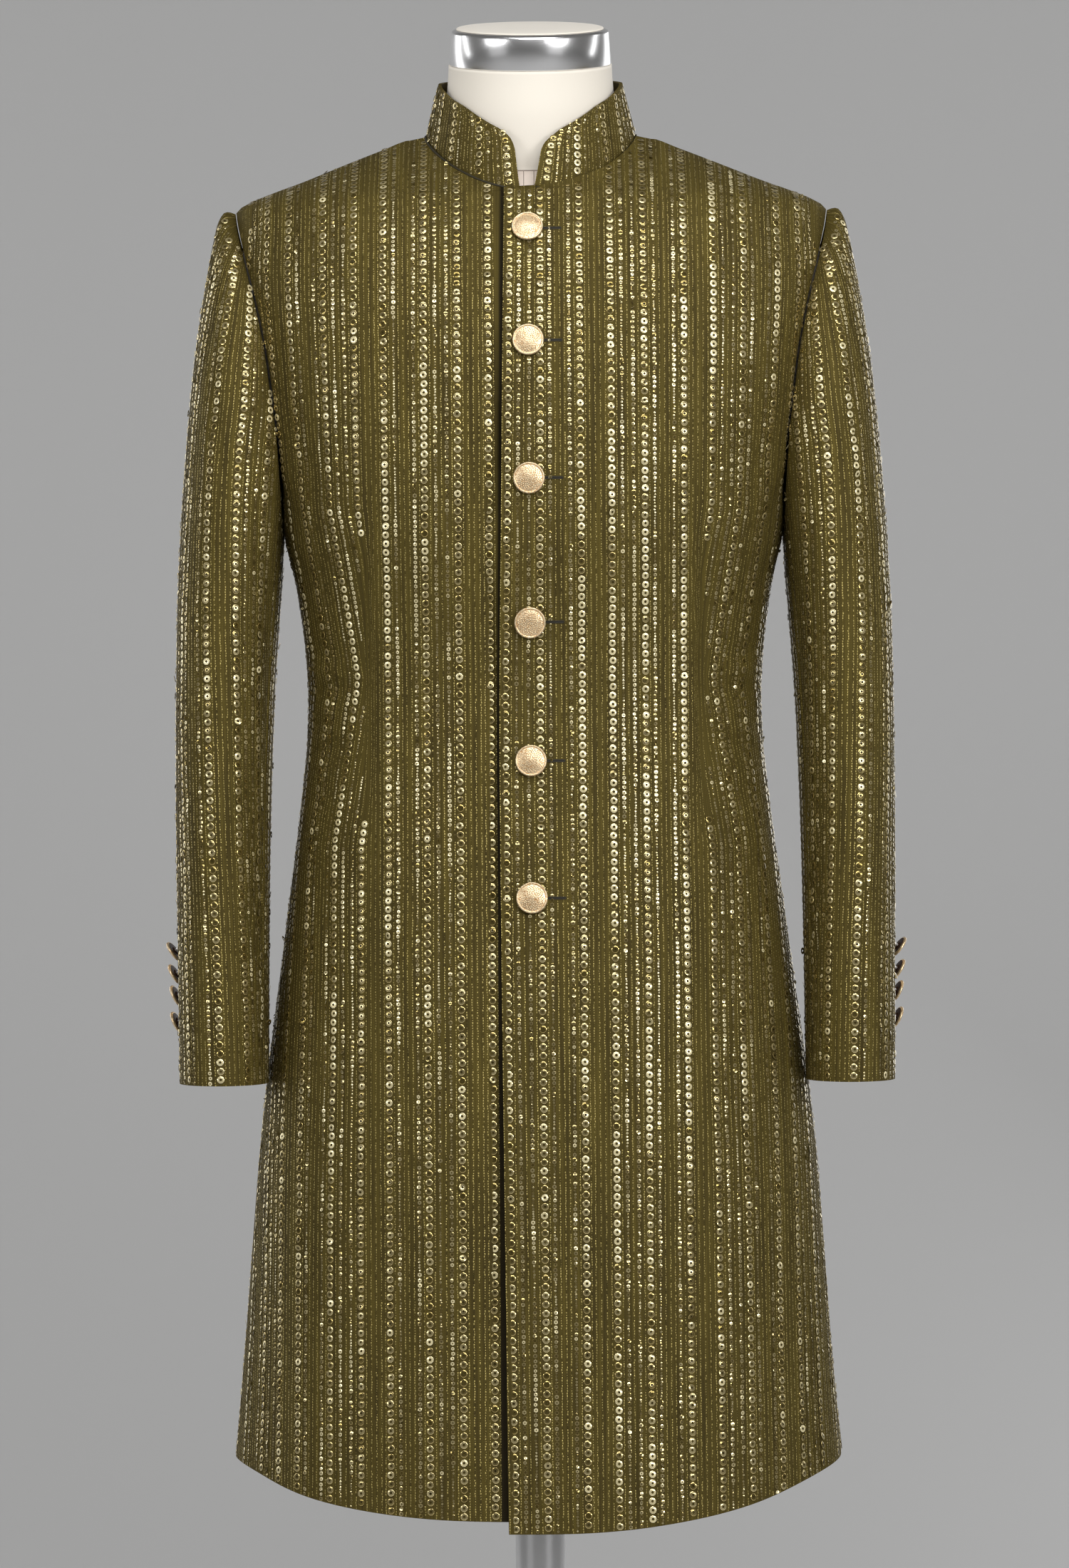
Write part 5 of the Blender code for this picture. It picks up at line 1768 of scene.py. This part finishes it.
def brushed_steel():
    material, graph, surface = shader_graph("steel_finish", STEEL, 0.32, 1.0)
    apart = graph.add("ShaderNodeSeparateXYZ", {0: object_coordinate(graph)}).outputs
    far = graph.math("SQRT", graph.plus(graph.math("POWER", apart[0], 2.0),
                                        graph.math("POWER", apart[1], 2.0)))
    rings = graph.add("ShaderNodeCombineXYZ", {0: far, 1: apart[2]}).outputs[0]
    noise = graph.add("ShaderNodeTexNoise", {"Vector": rings, "Scale": 900.0})
    graph.feed(surface.inputs["Roughness"], graph.math("MULTIPLY_ADD", noise.outputs[0], 0.2, 0.2))
    return material


def disc_material(name, hole):
    """Gold foil with painted light: each disc's foil painted glinting or in shade by its light
    value, a painted highlight on its rim, and a dark hole, the cloth seen through it, painted
    wider on sequins as shade round the hole's edge.
    """
    material, graph, surface = shader_graph(name, GOLD_BRIGHT, 0.25, 1.0)
    finish = graph.add("ShaderNodeSeparateXYZ", {0: uv_coordinate(graph, "DiscFinish")}).outputs
    # Painted light: foil and rim go from shaded to glinting with each disc's light value; the rim
    # is painted lighter than the foil as a highlight.
    outline = graph.mix(finish[1], RIM_HIGHLIGHT_SHADED, RIM_HIGHLIGHT_GLINTING)
    inside = graph.mix(finish[1], FOIL_PAINTED_SHADED, FOIL_PAINTED_GLINTING)
    colour = graph.mix(graph.math("GREATER_THAN", finish[0], RIM_HIGHLIGHT_FROM), inside, outline)
    # Dark hole: the cloth seen through it; on sequins it reaches past the real hole as painted
    # shade.
    middle = graph.math("LESS_THAN", finish[0], hole)
    colour = graph.mix(middle, colour, OLIVE_DARK)
    sheen = graph.math("MULTIPLY_ADD", finish[1], -0.45, 0.80)
    sheen = graph.times(sheen, graph.minus(1.0, middle))
    graph.feed(surface.inputs["Metallic"], sheen)
    graph.feed(surface.inputs["Base Color"], colour)
    rough = graph.math("MULTIPLY_ADD", finish[1], 0.10, 0.12)
    graph.feed(surface.inputs["Roughness"], rough)
    return material


def make_coat():
    random = np.random.default_rng(SEED)
    inside = inside_cloth()
    sequin_gold = disc_material("sequin_gold", 0.38)
    spangle_gold = disc_material("spangle_gold", 0.34)
    cloths = {}

    def cloth_with(phase):
        if phase not in cloths:
            cloths[phase] = sequin_cloth("sequin_cloth_%d" % (len(cloths) + 1), phase)
        return cloths[phase]

    left = front_panel("front_left_cloth", 1, HEM_DIP_LEFT, LEFT_FLUTE_PHASE)
    right = front_panel("front_right_cloth", -1, HEM_DIP_RIGHT, RIGHT_FLUTE_PHASE)
    fronts = [(left, LEFT_PHASE, -1.0), (right, RIGHT_PHASE, HIDDEN_ACROSS)]
    plan = [(p, p.mirror, phase, first, p.name[:-6]) for p, phase, first in fronts]
    plan.append((back_panel(), False, BACK_PHASE, -1.0, "back"))
    for word, mirror in (("left", False), ("right", True)):
        for half, panel in (("top", top_sleeve_panel), ("under", under_sleeve_panel)):
            node = "%s_sleeve_%s" % (half, word)
            plan.append((panel(node + "_cloth"), mirror, SLEEVE_PHASE, -1.0, node))
    plan.append((collar_panel(), False, COLLAR_PHASE, -1.0, "collar"))
    for panel, mirror, phase, first, node in plan:
        piece = cloth_piece(panel, mirror, cloth_with(phase), inside)
        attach(piece, "root")
        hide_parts(node)
        for kind, gold in (("sequin", sequin_gold), ("spangle", spangle_gold)):
            thing = sew_discs(panel, mirror, kind, phase, first, gold, random)
            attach(thing, "root")
        width = panel.cut.max() - panel.cut.min()
        length = panel.along.max() - panel.along.min()
        min(flat_area(panel), width * length)


def make_camera():
    data = bpy.data.cameras.new("camera")
    data.lens = CAMERA_LENS
    data.sensor_width = 36.0
    data.clip_start, data.clip_end = 0.1, 50.0
    camera = bpy.data.objects.new("camera", data)
    camera.location = CAMERA_PLACE
    camera.rotation_euler = (math.radians(90.0), math.radians(CAMERA_ROLL), 0.0)
    bpy.context.scene.collection.objects.link(camera)
    bpy.context.scene.camera = camera


def area_light(name, place, aim, size, power):
    data = bpy.data.lights.new(name, "AREA")
    data.shape = "RECTANGLE"
    data.size, data.size_y = size
    data.energy = power
    light = bpy.data.objects.new(name, data)
    light.location = place
    light.rotation_euler = (Vector(aim) - Vector(place)).to_track_quat("-Z", "Y").to_euler()
    bpy.context.scene.collection.objects.link(light)


def make_studio():
    """Grey paper swept up behind the coat and seen through from its back, and the lights."""
    profile = [(-FLOOR_HALF, 0.0)]
    for turn in np.linspace(0.0, math.pi / 2.0, SWEEP_STEPS):
        profile.append((SWEEP_Y + SWEEP_RADIUS * math.sin(turn),
                        SWEEP_RADIUS * (1.0 - math.cos(turn))))
    profile.append((SWEEP_Y + SWEEP_RADIUS, SWEEP_HEIGHT))
    points = np.array([[(x, y, z) for x in (-FLOOR_HALF, FLOOR_HALF)] for y, z in profile])
    sweep = new_object("floor", points.reshape(-1, 3), grid_faces(len(profile), 2, 0))
    sweep.data.shade_smooth()
    material, graph, paper = shader_graph("studio_paper", PAPER_GREY, 0.9)
    clear = graph.add("ShaderNodeBsdfTransparent").outputs[0]
    behind = graph.add("ShaderNodeNewGeometry").outputs["Backfacing"]
    either = graph.add("ShaderNodeMixShader", {0: behind, 1: paper.outputs[0], 2: clear})
    graph.feed(material.node_tree.nodes["Material Output"].inputs["Surface"], either.outputs[0])
    sweep.data.materials.append(material)
    sweep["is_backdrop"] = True
    world = bpy.data.worlds.new("studio")
    world.use_nodes = True
    sky = world.node_tree.nodes["Background"].inputs
    sky["Color"].default_value, sky["Strength"].default_value = WORLD_TINT, WORLD_LIGHT
    bpy.context.scene.world = world
    bpy.context.scene.view_settings.view_transform = "Standard"
    for box in SOFTBOXES:
        heading = math.radians(box.heading)
        place = Vector((box.away * math.sin(heading), -box.away * math.cos(heading), box.height))
        power = box.glow * math.pi * box.size[0] * box.size[1]
        area_light(box.name, place, (0.0, 0.0, box.aim), box.size, power)
    for side in (-1.0, 1.0):
        area_light("backdrop_light", (side * 2.6, 0.9, 2.0), (side * 0.2, 3.4, 1.1),
                   BACKDROP_SIZE, BACKDROP_POWER)


make_camera()
make_studio()
make_coat()
finish_metal = button_metal()
dark_thread = shader_material("seam_thread", (0.030, 0.024, 0.009), 0.70)
# Painted shade: the buttonhole slot is a near-black strip on the cloth.
slot_painted_shade = shader_material("buttonhole_dark", (0.012, 0.010, 0.006), 0.80)
# Painted highlight: the shank loops are near white.
loop_highlight_paint = shader_material("loop_metal", (0.95, 0.93, 0.90), 0.30, 0.5)
chrome = shader_material("chrome_finish", (0.86, 0.86, 0.87), 0.24, 1.0)
# Painted shade: the buttons' undersides and hubs are dark brown.
underside = shader_material("button_underside", (0.042, 0.018, 0.010), 0.45)
underside.node_tree.nodes["Principled BSDF"].inputs["Specular IOR Level"].default_value = 0.15
button_shape = button_head(finish_metal, underside)
make_front_buttons(button_shape, finish_metal)
make_cuff_buttons(button_shape, underside, loop_highlight_paint)
bpy.data.objects.remove(button_shape)
make_buttonholes(dark_thread, slot_painted_shade)
make_neck_cord(dark_thread)
jersey = jersey_cloth()
make_form(jersey)
make_stand(chrome, brushed_steel(), jersey)

corners = [[list(corner) for corner in box] for box in (CAD_BOX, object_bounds())]
